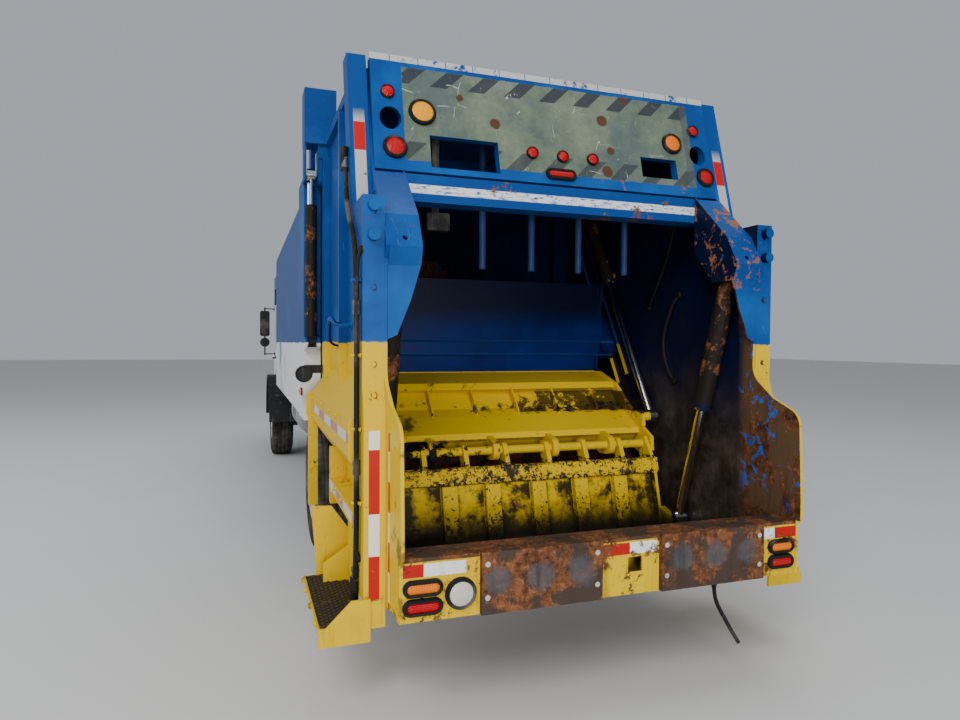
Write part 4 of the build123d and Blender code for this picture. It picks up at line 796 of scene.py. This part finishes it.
def treadFinish():
    # grip plate: worn bright on its teeth, dark between them, yellow left at its edges
    made = Finish("gripPlate", 0.6, 0.2)
    teeth = made.step(made.z, 0.426, 0.432)
    made.colour = made.mix(teeth, (0.016, 0.013, 0.009), (0.080, 0.066, 0.042))
    made.stain(7.0, 0.60, (0.34, 0.20, 0.004), teeth, None, 0.04)
    made.rust(8.0, 0.35)
    return made.done()


materials = {
    "tailgate": tailgateFinish(), "body": bodyFinish(), "yellow": yellowFinish(),
    "carriage": carriageFinish(), "blade": bladeFinish(), "fascia": fasciaFinish(), "roof": crossbarFinish(),
    "hopper": hopperFinish(), "sill": sillFinish(), "cylinder": cylinderFinish(), "rod": rodFinish(),
    "cab": cabFinish(), "frame": blackFinish("frameBlack", (0.010, 0.010, 0.011), 0.6, 0.55),
    "plastic": blackFinish("darkPlastic", (0.014, 0.014, 0.015), 0.5, 0.35),
    "hose": blackFinish("hoseRubber", (0.008, 0.008, 0.008), 0.55, 0.30),
    "tyre": tyreFinish(), "rim": rimFinish(), "iron": metalFinish("castIron", (0.16, 0.16, 0.17), 0.6, 0.3),
    "tank": metalFinish("tankMetal", (0.48, 0.49, 0.50), 0.38, 0.08),
    "exhaust": metalFinish("exhaustSteel", (0.30, 0.27, 0.24), 0.45, 0.45),
    "clear": lensFinish("clearLens", (0.55, 0.56, 0.56), 1.3), "glass": glassFinish(),
    "lampRed": lampFinish("lampRed", (0.26, 0.001, 0.003), (0.60, 0.004, 0.010)),
    "lampAmber": lampFinish("lampAmber", (0.62, 0.11, 0.0), (0.92, 0.22, 0.001)),
    "lampYellow": lampFinish("lampYellow", (0.72, 0.28, 0.0), (0.92, 0.42, 0.001)),
    "lampWhite": lampFinish("lampWhite", (0.42, 0.40, 0.33), (0.66, 0.64, 0.56)),
    "navyPipe": navyFinish(), "grip": treadFinish(),
    "mirror": metalFinish("mirrorGlass", (0.72, 0.75, 0.78), 0.05, 0.02),
}
print("materials ready")

nodeFinish = {
    "tailgate": ["tailgate_sides", "tailgate_posts", "tailgate_ears", "tailgate_towers"],
    "body": ["body_shell", "body_bulkhead", "body_rear_frame"],
    "yellow": ["side_steps"], "carriage": ["carriage"], "blade": ["blade"], "fascia": ["fascia"],
    "roof": ["tailgate_roof"], "hopper": ["hopper_floor", "ejector_panel"], "sill": ["sill_beam"],
    "cylinder": ["slide_barrels", "sweep_barrels", "lift_barrels"],
    "rod": ["slide_rods", "sweep_rods", "lift_rods"],
    "cab": ["cab_floor", "cab_sides", "cab_rear_wall", "cab_roof", "cab_front", "door_left", "door_right"],
    "frame": ["chassis_frame", "front_axle", "rear_axle", "battery_box", "body_floor"],
    "plastic": ["front_fenders", "front_bumper", "cab_interior", "mirror_left", "mirror_right"],
    "iron": ["engine_block", "knuckle_left", "knuckle_right"], "tank": ["fuel_tank"],
    "exhaust": ["exhaust_stack"], "clear": ["headlamps"],
    "glass": ["windscreen", "door_glass_left", "door_glass_right"], "hose": ["hydraulic_lines"],
}
nodeFinish["tyre"] = [name for name in nodes if name.startswith("tyre")]
nodeFinish["rim"] = [name for name in nodes if name.startswith("rim_")]
for finish, names in nodeFinish.items():
    for name in names:
        nodes[name].data.materials.clear()
        nodes[name].data.materials.append(materials[finish])

looseHose.data.materials.append(materials["hose"])

# Shapes

sides = {"left": 1, "right": -1}


def at(x, ahead, z):
    return (x, aft(ahead), z)


def placed(points, origin, out, up=(0.0, 0.0, 1.0)):
    # local x, y and z become sideways, upward and outward at origin
    out = np.array(out, float) / np.linalg.norm(out)
    side = np.cross(up, out)
    side /= np.linalg.norm(side)
    return points @ np.array([side, np.cross(out, side), out]) + np.array(origin, float)


def turned(profile, around=32):
    # circles of radius r at height h: (r cos a, r sin a, h) for each (r, h) of the profile
    angle = np.arange(around) * 2 * np.pi / around
    radius, height = np.array(profile, float).T[:, :, None]
    return np.stack([radius * np.cos(angle), radius * np.sin(angle), height + 0 * angle], -1)


def oblong(wide, high, profile, around=48):
    # turned() drawn out sideways: the half circles of radius high - inset stand (wide - high) to each side
    round_ = high or wide
    angle = (np.arange(around) + 0.5) * 2 * np.pi / around
    inset, height = np.array(profile, float).T[:, :, None]
    radius = np.maximum(round_ - inset, 0.0004)
    stand = (wide - round_) * np.sign(np.cos(angle))
    return np.stack([radius * np.cos(angle) + stand, radius * np.sin(angle), height + 0 * angle], -1)


def board(wide, high, thick, corner=0.006, edge=0.002, around=24):
    # rounded rectangle: corner arcs about (wide - corner, high - corner), with its edges taken off by edge
    angle = (np.arange(around) + 0.5) * 2 * np.pi / around
    rows = []
    for inset, height in ((edge, 0.0), (0.0, edge), (0.0, thick - edge), (edge, thick)):
        x = (wide - corner) * np.sign(np.cos(angle)) + (corner - inset) * np.cos(angle)
        y = (high - corner) * np.sign(np.sin(angle)) + (corner - inset) * np.sin(angle)
        rows.append(np.stack([x, y, height + 0 * angle], -1))
    return np.array(rows)


def eased(points, times=3):
    # corner cutting: each run gives its points at one and three quarters, the ends stay
    line = np.array(points, float)
    for _ in range(times):
        cut = np.stack([0.75 * line[:-1] + 0.25 * line[1:], 0.25 * line[:-1] + 0.75 * line[1:]], 1)
        line = np.concatenate([line[:1], cut.reshape(-1, 3), line[-1:]])
    return line


def tube(points, radius, around=14, times=3):
    # circles square to the line: p + r (n cos a + b sin a), n and b from the tangent and one fixed direction
    line = eased(points, times)
    along = np.gradient(line, axis=0)
    along /= np.linalg.norm(along, axis=1)[:, None]
    fixed = np.eye(3)[np.argmin(np.abs(along).max(0))]
    first = np.cross(along, fixed)
    first /= np.linalg.norm(first, axis=1)[:, None]
    second = np.cross(along, first)
    angle = (np.arange(around) * 2 * np.pi / around)[None, :, None]
    return line[:, None] + radius * (first[:, None] * np.cos(angle) + second[:, None] * np.sin(angle))


def domed(inset, base, foot, span, rise, shares):
    # (inset, height): straight from base to foot, then in over span, rising by rise (1 - (1 - share)^2)
    curve = [(inset + span * share, foot + rise * (1 - (1 - share) ** 2)) for share in shares]
    return [(inset, base), (inset, foot)] + curve


class Form:
    # closed skins gathered into one object
    def __init__(self, name):
        self.name = name
        self.corners = []
        self.faces = []
        self.count = 0

    def skin(self, rows, wrap=False):
        # rows of rings; the ends are capped, or joined to each other where the surface wraps
        rows = np.asarray(rows, float)
        deep, around = rows.shape[:2]
        row = np.arange(deep if wrap else deep - 1)[:, None]
        here = np.arange(around)[None, :]
        after, below = (here + 1) % around, (row + 1) % deep
        quads = np.stack(np.broadcast_arrays(row * around + here, row * around + after,
                                             below * around + after, below * around + here), -1)
        self.faces += (quads.reshape(-1, 4) + self.count).tolist()
        if not wrap:
            self.faces.append(list(range(self.count + around - 1, self.count - 1, -1)))
            self.faces.append(list(range(self.count + (deep - 1) * around, self.count + deep * around)))
        self.corners.append(rows.reshape(-1, 3))
        self.count += deep * around
        return self

    def disc(self, profile, around, spot, out, up=(0.0, 0.0, 1.0)):
        return self.skin(placed(turned(profile, around), spot, out, up))

    def slab(self, sizes, spot, out):
        return self.skin(placed(board(*sizes), spot, out))

    def pipe(self, route, radius, around=14, times=3):
        # route as (X, ahead, Z)
        return self.skin(tube([at(*point) for point in route], radius, around, times))

    def made(self, finish, body, slot, replaced=(), crease=35):
        data = bpy.data.meshes.new(self.name)
        data.from_pydata(np.concatenate(self.corners).tolist(), [], self.faces)
        work = bmesh.new()
        work.from_mesh(data)
        bmesh.ops.recalc_face_normals(work, faces=work.faces)
        work.to_mesh(data)
        work.free()
        data.shade_smooth()
        data.set_sharp_from_angle(angle=math.radians(crease))
        data.materials.append(materials[finish])
        piece = bpy.data.objects.new(self.name, data)
        bpy.context.scene.collection.objects.link(piece)
        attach(piece, body)
        if replaced:
            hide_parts(*replaced)
        return piece

    def onTailgate(self, crease=35):
        # painted like the tailgate that carries it
        return self.made("tailgate", "tailgate", "tailgate_paint", (), crease)


# Tyres: section from bead to crown as (share of the half width, radius), mirrored for the other half
tyreSetup = {
    "around": 240, "slots": 60, "depth": 0.012, "shoulder": (0.57, 0.95, 0.48), "z": 0.525,
    "section": [(-0.70, 0.2915), (-0.84, 0.305), (-0.95, 0.345), (-1.0, 0.405), (-0.985, 0.455),
                (-0.93, 0.492), (-0.86, 0.512), (-0.72, 0.5215), (-0.58, 0.5235), (-0.555, 0.511),
                (-0.49, 0.511), (-0.465, 0.5245), (-0.245, 0.525), (-0.22, 0.511), (-0.155, 0.511),
                (-0.13, 0.525), (0.0, 0.525)],
}
tyreSetup["section"] += [(-share, radius) for share, radius in tyreSetup["section"][-2::-1]]


def tyreRows(x, width, y):
    # rings (x + u w/2, y + r cos a, z + r sin a), r less the depth where sin(slots a) > 0 on the shoulders
    share, radius = np.array(tyreSetup["section"]).T[:, None, :]
    angle = (np.arange(tyreSetup["around"]) + 0.5)[:, None] * 2 * np.pi / tyreSetup["around"]
    inner, outer, least = tyreSetup["shoulder"]
    shoulder = (np.abs(share) > inner) & (np.abs(share) < outer) & (radius > least)
    cross = np.sin(tyreSetup["slots"] * angle + 0.9 * np.sign(share)) > 0
    reach = radius - tyreSetup["depth"] * (shoulder & cross)
    return np.stack([x + share * width / 2 + 0 * angle, y + reach * np.cos(angle),
                     tyreSetup["z"] + reach * np.sin(angle)], -1)


wheelSetup = {
    "front": {"y": -3.33, "tyres": [1.10], "width": 0.30, "disc": 1.186, "circle": 0.143, "hub": 1.215,
              "cap": 0.082, "node": "tyre"},
    "rear": {"y": 1.63, "tyres": [0.995, 0.680], "width": 0.27, "disc": 0.886, "circle": 0.160, "hub": 0.990,
             "cap": 0.100, "node": "tyres"},
}
nutProfile = [(0.017, 0.0), (0.017, 0.004), (0.0135, 0.005), (0.0135, 0.020), (0.011, 0.024)]
capProfile = [(1.0, -0.002), (1.0, 0.006), (0.92, 0.012), (0.6, 0.017), (0.2, 0.019)]


def makeWheels():
    for end, setup in wheelSetup.items():
        for word, side in sides.items():
            body = f"wheel_{end}_{word}"
            tread = Form(f"{end}{word.title()}Tread")
            for x in setup["tyres"]:
                tread.skin(tyreRows(side * x, setup["width"], setup["y"]), wrap=True)
            tread.made("tyre", body, "tyre", [f"{setup['node']}_{end}_{word}"], 28)
            trim = Form(f"{end}{word.title()}Nuts")
            for turn in np.arange(10) * np.pi / 5:
                spot = (side * setup["disc"], setup["y"] + setup["circle"] * math.cos(turn),
                        tyreSetup["z"] + setup["circle"] * math.sin(turn))
                trim.disc(nutProfile, 6, spot, (side, 0, 0))
            cap = [(share * setup["cap"], height) for share, height in capProfile]
            trim.disc(cap, 40, (side * setup["hub"], setup["y"], tyreSetup["z"]), (side, 0, 0))
            trim.made("iron", body, "engine_iron")


# Lamps: X, Z, half width, half height or 0 if round, finish; the fascia leans by its rake from its foot
lampSetup = {
    "fascia": [(0.769, 2.908, 0.070, 0, "lampYellow"), (-0.768, 2.899, 0.062, 0, "lampAmber"),
               (0.950, 3.000, 0.037, 0, "lampRed"), (-0.930, 2.995, 0.036, 0, "lampRed"),
               (0.924, 2.699, 0.060, 0, "lampRed"), (-0.975, 2.704, 0.056, 0, "lampRed"),
               (0.157, 2.744, 0.034, 0, "lampRed"), (-0.027, 2.740, 0.034, 0, "lampRed"),
               (-0.214, 2.742, 0.034, 0, "lampRed"), (-0.007, 2.634, 0.088, 0.030, "lampRed")],
    "sill": [(0.949, 0.668, 0.084, 0.033, "lampAmber"), (0.949, 0.588, 0.084, 0.033, "lampRed"),
             (0.782, 0.628, 0.066, 0, "lampWhite"), (-0.935, 0.672, 0.076, 0.033, "lampAmber"),
             (-0.935, 0.594, 0.076, 0.033, "lampRed")],
    "rake": (0.162, 0.643), "foot": (0.668, 2.577), "smallBelow": 0.040,
    "domeShares": (0.05, 0.15, 0.3, 0.5, 0.75, 0.97),
}


def makeLamps():
    ahead, rise = lampSetup["rake"]
    footAhead, footHigh = lampSetup["foot"]
    lenses, rings = {}, Form("lampRings")
    for where in ("fascia", "sill"):
        for x, z, wide, high, finish in lampSetup[where]:
            if where == "fascia":
                spot, out = at(x, footAhead + (z - footHigh) * ahead / rise, z), (0, rise, ahead)
            else:
                spot, out = at(x, 0, z), (0, 1, 0)
            ring, edge = (0.0045, 0.0) if wide < lampSetup["smallBelow"] else (0.0135, -0.004)
            rows = [(edge, 0.0), (edge, 0.011), (edge + 0.004, 0.018), (edge + 0.5 * ring, 0.021),
                    (ring - 0.001, 0.019), (ring, 0.012), (ring + 0.002, 0.004), (ring + 0.002, 0.0)]
            rings.skin(placed(oblong(wide, high, rows), spot, out), wrap=True)
            dome = domed(ring, 0.0, 0.0145, (high or wide) - ring, 0.010, lampSetup["domeShares"])
            dome[:2] = [(ring - 0.0005, 0.003), (ring - 0.0005, 0.0145)]
            lens = lenses.setdefault(finish, Form("lens" + finish[4:]))
            lens.skin(placed(oblong(wide, high, dome), spot, out))
    for index, (finish, form) in enumerate(lenses.items()):
        form.made(finish, "tailgate", "lamp_lens", ["tail_lamps"] if index == 0 else (), 60)
    rings.made("hose", "tailgate", "hose_rubber", (), 50)


# Grip plates of the steps: raised teeth over the platform
gripSetup = {"x": (1.128, 1.342), "ahead": (0.300, 1.012), "low": 0.4245, "base": 0.427, "tooth": 0.0085,
             "pitch": (0.043, 0.036), "columns": 37, "rows": 121}


def makeGrips():
    # height base + tooth * max(0, sin(2 pi x / p) sin(2 pi y / q) - 0.2), closed below
    for word, side in sides.items():
        x = np.linspace(*gripSetup["x"], gripSetup["columns"])[None, :]
        y = np.linspace(*gripSetup["ahead"], gripSetup["rows"])[:, None]
        wave = np.sin(2 * np.pi * x / gripSetup["pitch"][0]) * np.sin(2 * np.pi * y / gripSetup["pitch"][1])
        top = gripSetup["base"] + gripSetup["tooth"] * np.maximum(0.0, wave - 0.2)
        upper = np.stack([side * x + 0 * y, aft(y) + 0 * x, top], -1)
        lower = upper[:, ::-1].copy()
        lower[:, :, 2] = gripSetup["low"]
        grip = Form(f"grip{word.title()}").skin(np.concatenate([upper, lower], 1))
        grip.made("grip", "tailgate", "worn_steel", (), 30)


# Pipes, clamps and small fittings; places are (X, ahead, Z), profiles (radius, height)
fittingSetup = {
    "handle": [(1.049, 1.30, 1.80), (1.150, 1.30, 1.80), (1.165, 1.32, 1.84), (1.165, 1.44, 1.84),
               (1.165, 1.50, 1.74), (1.150, 1.52, 1.68), (1.049, 1.52, 1.66)],
    "handleFoot": [(0.024, 0.0), (0.024, 0.004), (0.017, 0.010)],
    "topPipes": [(x, 1.05, 3.147) for x in (0.324, 0.009, -0.308, -0.635)],
    "topPipe": [(0.016, -1.012), (0.021, -1.006), (0.021, -0.02), (0.032, -0.012), (0.032, 0.0)],
    "roofBox": [((0.070, 0.052, 0.07, 0.012, 0.004), (0.592, 1.12, 2.400)),
                ((0.022, 0.352, 0.008, 0.004, 0.001), (0.592, 1.128, 2.796))],
    "hoses": [([(-1.034, 0.96, 2.62), (-1.005, 1.02, 2.52), (-1.010, 1.065, 2.425), (-1.010, 1.130, 2.250),
                (-1.010, 1.300, 2.010), (-1.034, 1.36, 1.95)], 0.008),
              ([(-1.034, 1.02, 2.02), (-1.008, 1.06, 1.96), (-1.010, 1.150, 1.78), (-1.010, 1.160, 1.66),
                (-1.010, 1.100, 1.52), (-1.034, 1.06, 1.46)], 0.012),
              ([(1.049, 0.90, 2.60), (1.075, 0.90, 2.56), (1.080, 0.86, 2.30), (1.078, 0.74, 2.02),
                (1.080, 0.66, 1.80), (1.078, 0.62, 1.50), (1.049, 0.60, 1.44)], 0.009),
              ([(1.151, 0.335, 2.12), (1.172, 0.350, 2.08), (1.176, 0.362, 1.80), (1.172, 0.350, 1.40),
                (1.176, 0.352, 1.00), (1.172, 0.372, 0.74), (1.151, 0.380, 0.70)], 0.0085)],
    "clamps": [(0.400, 1.985), (0.390, 1.640), (0.392, 1.300), (0.386, 0.960)],
    "clampLine": [(1.149, 0.048), (1.156, 0.040), (1.157, 0.020), (1.186, 0.014)],
    "clampBolt": [(0.010, 0.0), (0.010, 0.008), (0.007, 0.011)],
    "ferrules": [(0.784, 2.622, 0.25), (0.424, 0.615, 0.05), (0.396, 1.860, 0.03), (0.388, 1.120, 0.02)],
    "ferrule": [(0.0145, -0.035), (0.0185, -0.030), (0.0185, -0.012), (0.0165, -0.010), (0.0165, 0.010),
                (0.0185, 0.012), (0.0185, 0.030), (0.0145, 0.035)],
    "sleeve": [(0.0165, 0.001), (0.0165, -0.006), (0.0145, -0.012), (0.0145, -0.018), (0.0125, -0.024),
               (0.0125, -0.030), (0.0108, -0.040)],
}


def makeFittings():
    setup = fittingSetup
    handle = Form("handRail").pipe(setup["handle"], 0.014)
    for _, ahead, z in (setup["handle"][0], setup["handle"][-1]):
        handle.disc(setup["handleFoot"], 32, at(1.050, ahead, z), (1, 0, 0))
    handle.onTailgate()

    # pipes under the roof, each held by a flange at its top
    pipes = Form("topPipes")
    for point in setup["topPipes"]:
        pipes.disc(setup["topPipe"], 20, at(*point), (0, 0, 1), (0, 1, 0))
    pipes.made("navyPipe", "tailgate", "tailgate_paint")

    box = Form("roofBox")
    for sizes, point in setup["roofBox"]:
        box.slab(sizes, at(*point), (0, 1, 0))
    box.made("plastic", "tailgate", "dark_plastic")

    # each hose ends in a round foot on the wall that it comes out of
    hoses = Form("wallHoses")
    for route, radius in setup["hoses"]:
        hoses.pipe(route, radius)
        foot = [(2.1 * radius, -0.001), (2.1 * radius, 0.010), (1.5 * radius, 0.016)]
        for point in (route[0], route[-1]):
            hoses.disc(foot, 20, at(*point), (1, 0, 0))
    hoses.made("hose", "tailgate", "hose_rubber")

    # saddles over the thick hose: two ears on the post's outer face and a round back between them
    clamps = Form("hoseClamps")
    for ahead, z in setup["clamps"]:
        clamps.pipe([(x, ahead - half, z) for x, half in setup["clampLine"]]
                    + [(x, ahead + half, z) for x, half in setup["clampLine"][::-1]], 0.0075, 10, 2)
        for shift in (-0.038, 0.038):
            clamps.disc(setup["clampBolt"], 6, at(1.150, ahead + shift, z), (1, 0, 0))
    clamps.onTailgate()

    ferrules = Form("hoseFerrules")
    for ahead, z, slope in setup["ferrules"]:
        ferrules.disc(setup["ferrule"], 24, at(1.1665, ahead, z), (0, -slope, 1), (1, 0, 0))
    ferrules.made("iron", "tailgate", "engine_iron")

    # tapered sleeve where the loose hose leaves its gland
    relief = Form("sillHoseRelief").disc(setup["sleeve"], 24, at(*sillHose["exit"]), (0, 0, 1), (0, 1, 0))
    relief.made("hose", "tailgate", "hose_rubber")


# Bolt heads: places as (X, ahead, Z) on the rear faces and on the outer faces, the same on both sides
boltSetup = {
    "head": [(0.017, 0.0), (0.017, 0.003), (0.0125, 0.0035), (0.0125, 0.011), (0.010, 0.0135)],
    "rear": [(1.100, 0.315, 1.46), (1.100, 0.330, 1.60), (1.100, 0.330, 1.95), (1.100, 0.330, 2.30)],
    "outer": [(1.050, 0.60, 2.44), (1.050, 0.55, 1.45), (1.050, 0.55, 1.62), (1.050, 0.70, 2.05),
              (1.180, 1.0, 1.30), (1.150, 1.0, 0.835), (1.180, 1.3, 1.30), (1.150, 1.3, 0.835),
              (1.180, 1.7, 1.30), (1.180, 1.7, 1.17), (1.180, 2.0, 1.30), (1.180, 2.0, 1.17),
              (1.180, 2.25, 1.30), (1.180, 2.25, 1.17), (1.350, 0.40, 0.412), (1.350, 0.62, 0.412),
              (1.350, 0.84, 0.412), (1.350, 1.00, 0.412)],
}


def makeBolts():
    bolts = Form("boltHeads")
    for side in sides.values():
        for way, places in (((0, 1, 0), boltSetup["rear"]), ((side, 0, 0), boltSetup["outer"])):
            for x, ahead, z in places:
                bolts.disc(boltSetup["head"], 6, at(side * x, ahead, z), way)
    bolts.onTailgate()


# Work lamps and side markers, on both sides
sideLampSetup = {
    "bracket": (0.016, 0.030, 0.135, 0.008, 0.003),
    "housing": [(0.020, -0.050), (0.046, -0.040), (0.060, -0.020), (0.060, -0.012), (0.056, -0.010),
                (0.056, 0.0), (0.062, 0.002), (0.062, 0.016), (0.054, 0.018), (0.050, 0.008)],
    "arm": [(1.205, 2.40, 1.47), (1.235, 2.405, 1.47), (1.235, 2.40, 1.50)],
    "markerSize": (0.062, 0.030), "markerBase": [(0.0, -0.002), (0.0, 0.010), (0.006, 0.012), (0.007, 0.004)],
    "markerDome": domed(0.007, 0.0, 0.013, 0.023, 0.011, (0.1, 0.3, 0.6, 0.95)),
}


def makeSideLamps():
    setup = sideLampSetup
    lamp, marker, base = Form("workLamp"), Form("sideMarkers"), Form("markerBases")
    for side in sides.values():
        lamp.slab(setup["bracket"], at(side * 1.099, 2.40, 1.50), (side, 0, 0))
        lamp.disc(setup["housing"], 40, at(side * 1.235, 2.375, 1.465), (0.25 * side, 1, 0))
        lamp.pipe([(side * x, ahead, z) for x, ahead, z in setup["arm"]], 0.010)
        for form, rows in ((base, setup["markerBase"]), (marker, setup["markerDome"])):
            form.skin(placed(oblong(*setup["markerSize"], rows), at(side * 1.219, 2.75, 1.31), (side, 0, 0)))
    lamp.made("plastic", "tailgate", "dark_plastic")
    marker.made("lampAmber", "chassis", "lamp_lens", (), 60)
    base.made("plastic", "chassis", "dark_plastic")


# Tapered plate below each ear's cover: corners as (X, Z), its rear face and its thickness
earPlateSetup = {"corners": [(0.876, 2.075), (1.036, 2.075), (1.036, 1.715), (0.992, 1.735), (0.925, 1.905)],
                 "ahead": 0.320, "thick": 0.012}


def makeEarPlates():
    plates = Form("earPlates")
    for side in sides.values():
        plates.skin([[at(side * x, earPlateSetup["ahead"] + depth, z) for x, z in earPlateSetup["corners"]]
                     for depth in (0.0, earPlateSetup["thick"])])
    plates.onTailgate(20)


# Rounded end plates of the upper side beams: sizes and place
beamEndSetup = [((0.066, 0.100, 0.012, 0.040, 0.003), (1.150, 2.432, 1.235)),
                ((0.070, 0.110, 0.010, 0.030, 0.003), (1.125, 0.462, 1.235))]


def makeBeamEnds():
    ends = Form("beamEndPlates")
    for side in sides.values():
        for sizes, (x, ahead, z) in beamEndSetup:
            ends.slab(sizes, at(side * x, ahead, z), (0, 1, 0))
    ends.onTailgate()


# Cab trim: the front panel's Y and its lean above 1.70 m; wipers as (X, reach across)
cabTrimSetup = {
    "front": -4.64, "lean": 0.196, "leanFrom": 1.70, "wipers": [(0.10, 0.42), (-0.80, 0.42)],
    "wiperFoot": [(0.026, 0.0), (0.026, 0.020), (0.018, 0.028)], "glassFoot": 1.72, "glassHigh": 0.46,
    "markers": (-0.85, -0.30, 0.0, 0.30, 0.85), "rail": (0.86, 0.42), "railZ": 1.50, "grip": 1.44,
    "railFoot": [(0.022, -0.001), (0.022, 0.004), (0.015, 0.008)], "standOff": 0.045,
    "roofDome": domed(0.0, -0.002, 0.006, 0.024, 0.010, (0.2, 0.5, 0.95)),
    "frontDome": domed(0.0, -0.002, 0.010, 0.040, 0.012, (0.2, 0.5, 0.95)),
}


def makeCabTrim():
    setup = cabTrimSetup
    front, off, gripZ, railZ = setup["front"], setup["standOff"], setup["grip"], setup["railZ"]
    for word, side in sides.items():
        body = f"door_{word}_body"
        low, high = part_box("mirror_" + word)
        middle = (low + high) / 2
        glass = Form(f"mirrorGlass{word.title()}")
        spot = (middle.x + side * 0.03, middle.y + 0.030, 1.995)
        glass.slab((0.062, 0.185, 0.004, 0.022, 0.001), spot, (0, 1, 0))
        glass.made("mirror", body, "glass")
        grip = Form(f"doorGrip{word.title()}")
        skin, rear = side * 1.149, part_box("door_" + word)[1].y - 0.12
        grip.skin(tube([(skin, rear, gripZ), (skin + side * off, rear, gripZ),
                        (skin + side * off, rear - 0.18, gripZ), (skin, rear - 0.18, gripZ)], 0.012))
        grip.slab((0.105, 0.036, 0.004, 0.020, 0.001), (skin, rear - 0.09, gripZ), (side, 0, 0))
        grip.made("plastic", body, "dark_plastic")

    def onGlass(across, share, away):
        # a place on the windscreen at a share of its height, standing off it by away
        z = setup["glassFoot"] + setup["glassHigh"] * share
        return (across, front + setup["lean"] * (z - setup["leanFrom"]) - away, z)

    wipers = Form("wipers")
    for x, reach in setup["wipers"]:
        wipers.disc(setup["wiperFoot"], 20, (x, front + 0.002, 1.715), (0, -1, 0))
        wipers.skin(tube([onGlass(x, 0.0, 0.018), onGlass(x + 0.1 * reach, 0.10, 0.022),
                          onGlass(x + reach, 0.80, 0.012)], 0.007, 10, 2))
        wipers.skin(tube([onGlass(x + (reach - 0.01), 0.30, 0.006), onGlass(x + reach, 0.80, 0.004),
                          onGlass(x + (reach + 0.01), 1.45, 0.006)], 0.006, 8, 2))
    wipers.made("plastic", "cab", "dark_plastic")
    markers = Form("roofMarkers")
    for x in setup["markers"]:
        rows = oblong(0.060, 0.024, setup["roofDome"])
        markers.skin(placed(rows, (x, front + 0.195, 2.745), (0, -1, 0.05)))
    for side in sides.values():
        rows = oblong(0.090, 0.040, setup["frontDome"])
        markers.skin(placed(rows, (side * 0.98, front, 1.30), (0, -1, 0)))
    markers.made("lampAmber", "cab", "lamp_lens", (), 60)
    rails = Form("grabRails")
    for side in sides.values():
        outer, inner = (side * x for x in setup["rail"])
        rails.skin(tube([(outer, front, railZ), (outer, front - off, railZ),
                         (inner, front - off, railZ), (inner, front, railZ)], 0.011))
        for x in (outer, inner):
            rails.disc(setup["railFoot"], 20, (x, front, railZ), (0, -1, 0))
    rails.made("plastic", "cab", "dark_plastic")


for make in (makeWheels, makeLamps, makeGrips, makeFittings, makeBolts, makeSideLamps, makeEarPlates,
             makeBeamEnds, makeCabTrim):
    make()
print("pieces ready")

# Floor and light: each light's place, aim, size and power
stageSetup = {
    "reach": 60, "floor": ((0.62, 0.62, 0.61), (0.66, 0.66, 0.65)),
    "sky": (0.80, 0.86, 0.94, 1), "skyPower": 0.50,
    "lights": {"keyLight": ((6, 12, 9), (0, 3, 1.5), 6.0, 900.0),
               "sideLight": ((14, 0, 7), (0, 0, 1.5), 8.0, 620.0),
               "topLight": ((-3, 2, 14), (0, 2, 0), 8.0, 480.0),
               "rearFill": ((1.5, 13, 1.6), (0, 3.6, 1.2), 3.0, 440.0)},
}


def makeStage():
    reach = stageSetup["reach"]
    data = bpy.data.meshes.new("floor")
    data.from_pydata([(-reach, -reach, 0), (reach, -reach, 0), (reach, reach, 0), (-reach, reach, 0)], [],
                     [(0, 1, 2, 3)])
    floor = bpy.data.objects.new("floor", data)
    bpy.context.scene.collection.objects.link(floor)
    made = Finish("floorPale", 0.9)
    made.colour = made.mix(made.noise(made.place, 0.6, 4.0, 0.6), *stageSetup["floor"])
    data.materials.append(made.done())
    world = bpy.data.worlds.new("world")
    world.use_nodes = True
    sky = world.node_tree.nodes["Background"].inputs
    sky["Color"].default_value = stageSetup["sky"]
    sky["Strength"].default_value = stageSetup["skyPower"]
    bpy.context.scene.world = world
    for name, (place, aim, size, power) in stageSetup["lights"].items():
        light = bpy.data.lights.new(name, "AREA")
        light.size = size
        light.energy = power
        lamp = bpy.data.objects.new(name, light)
        bpy.context.scene.collection.objects.link(lamp)
        lamp.location = place
        lamp.rotation_euler = (Vector(aim) - Vector(place)).to_track_quat("-Z", "Y").to_euler()


makeStage()
print("stage ready")
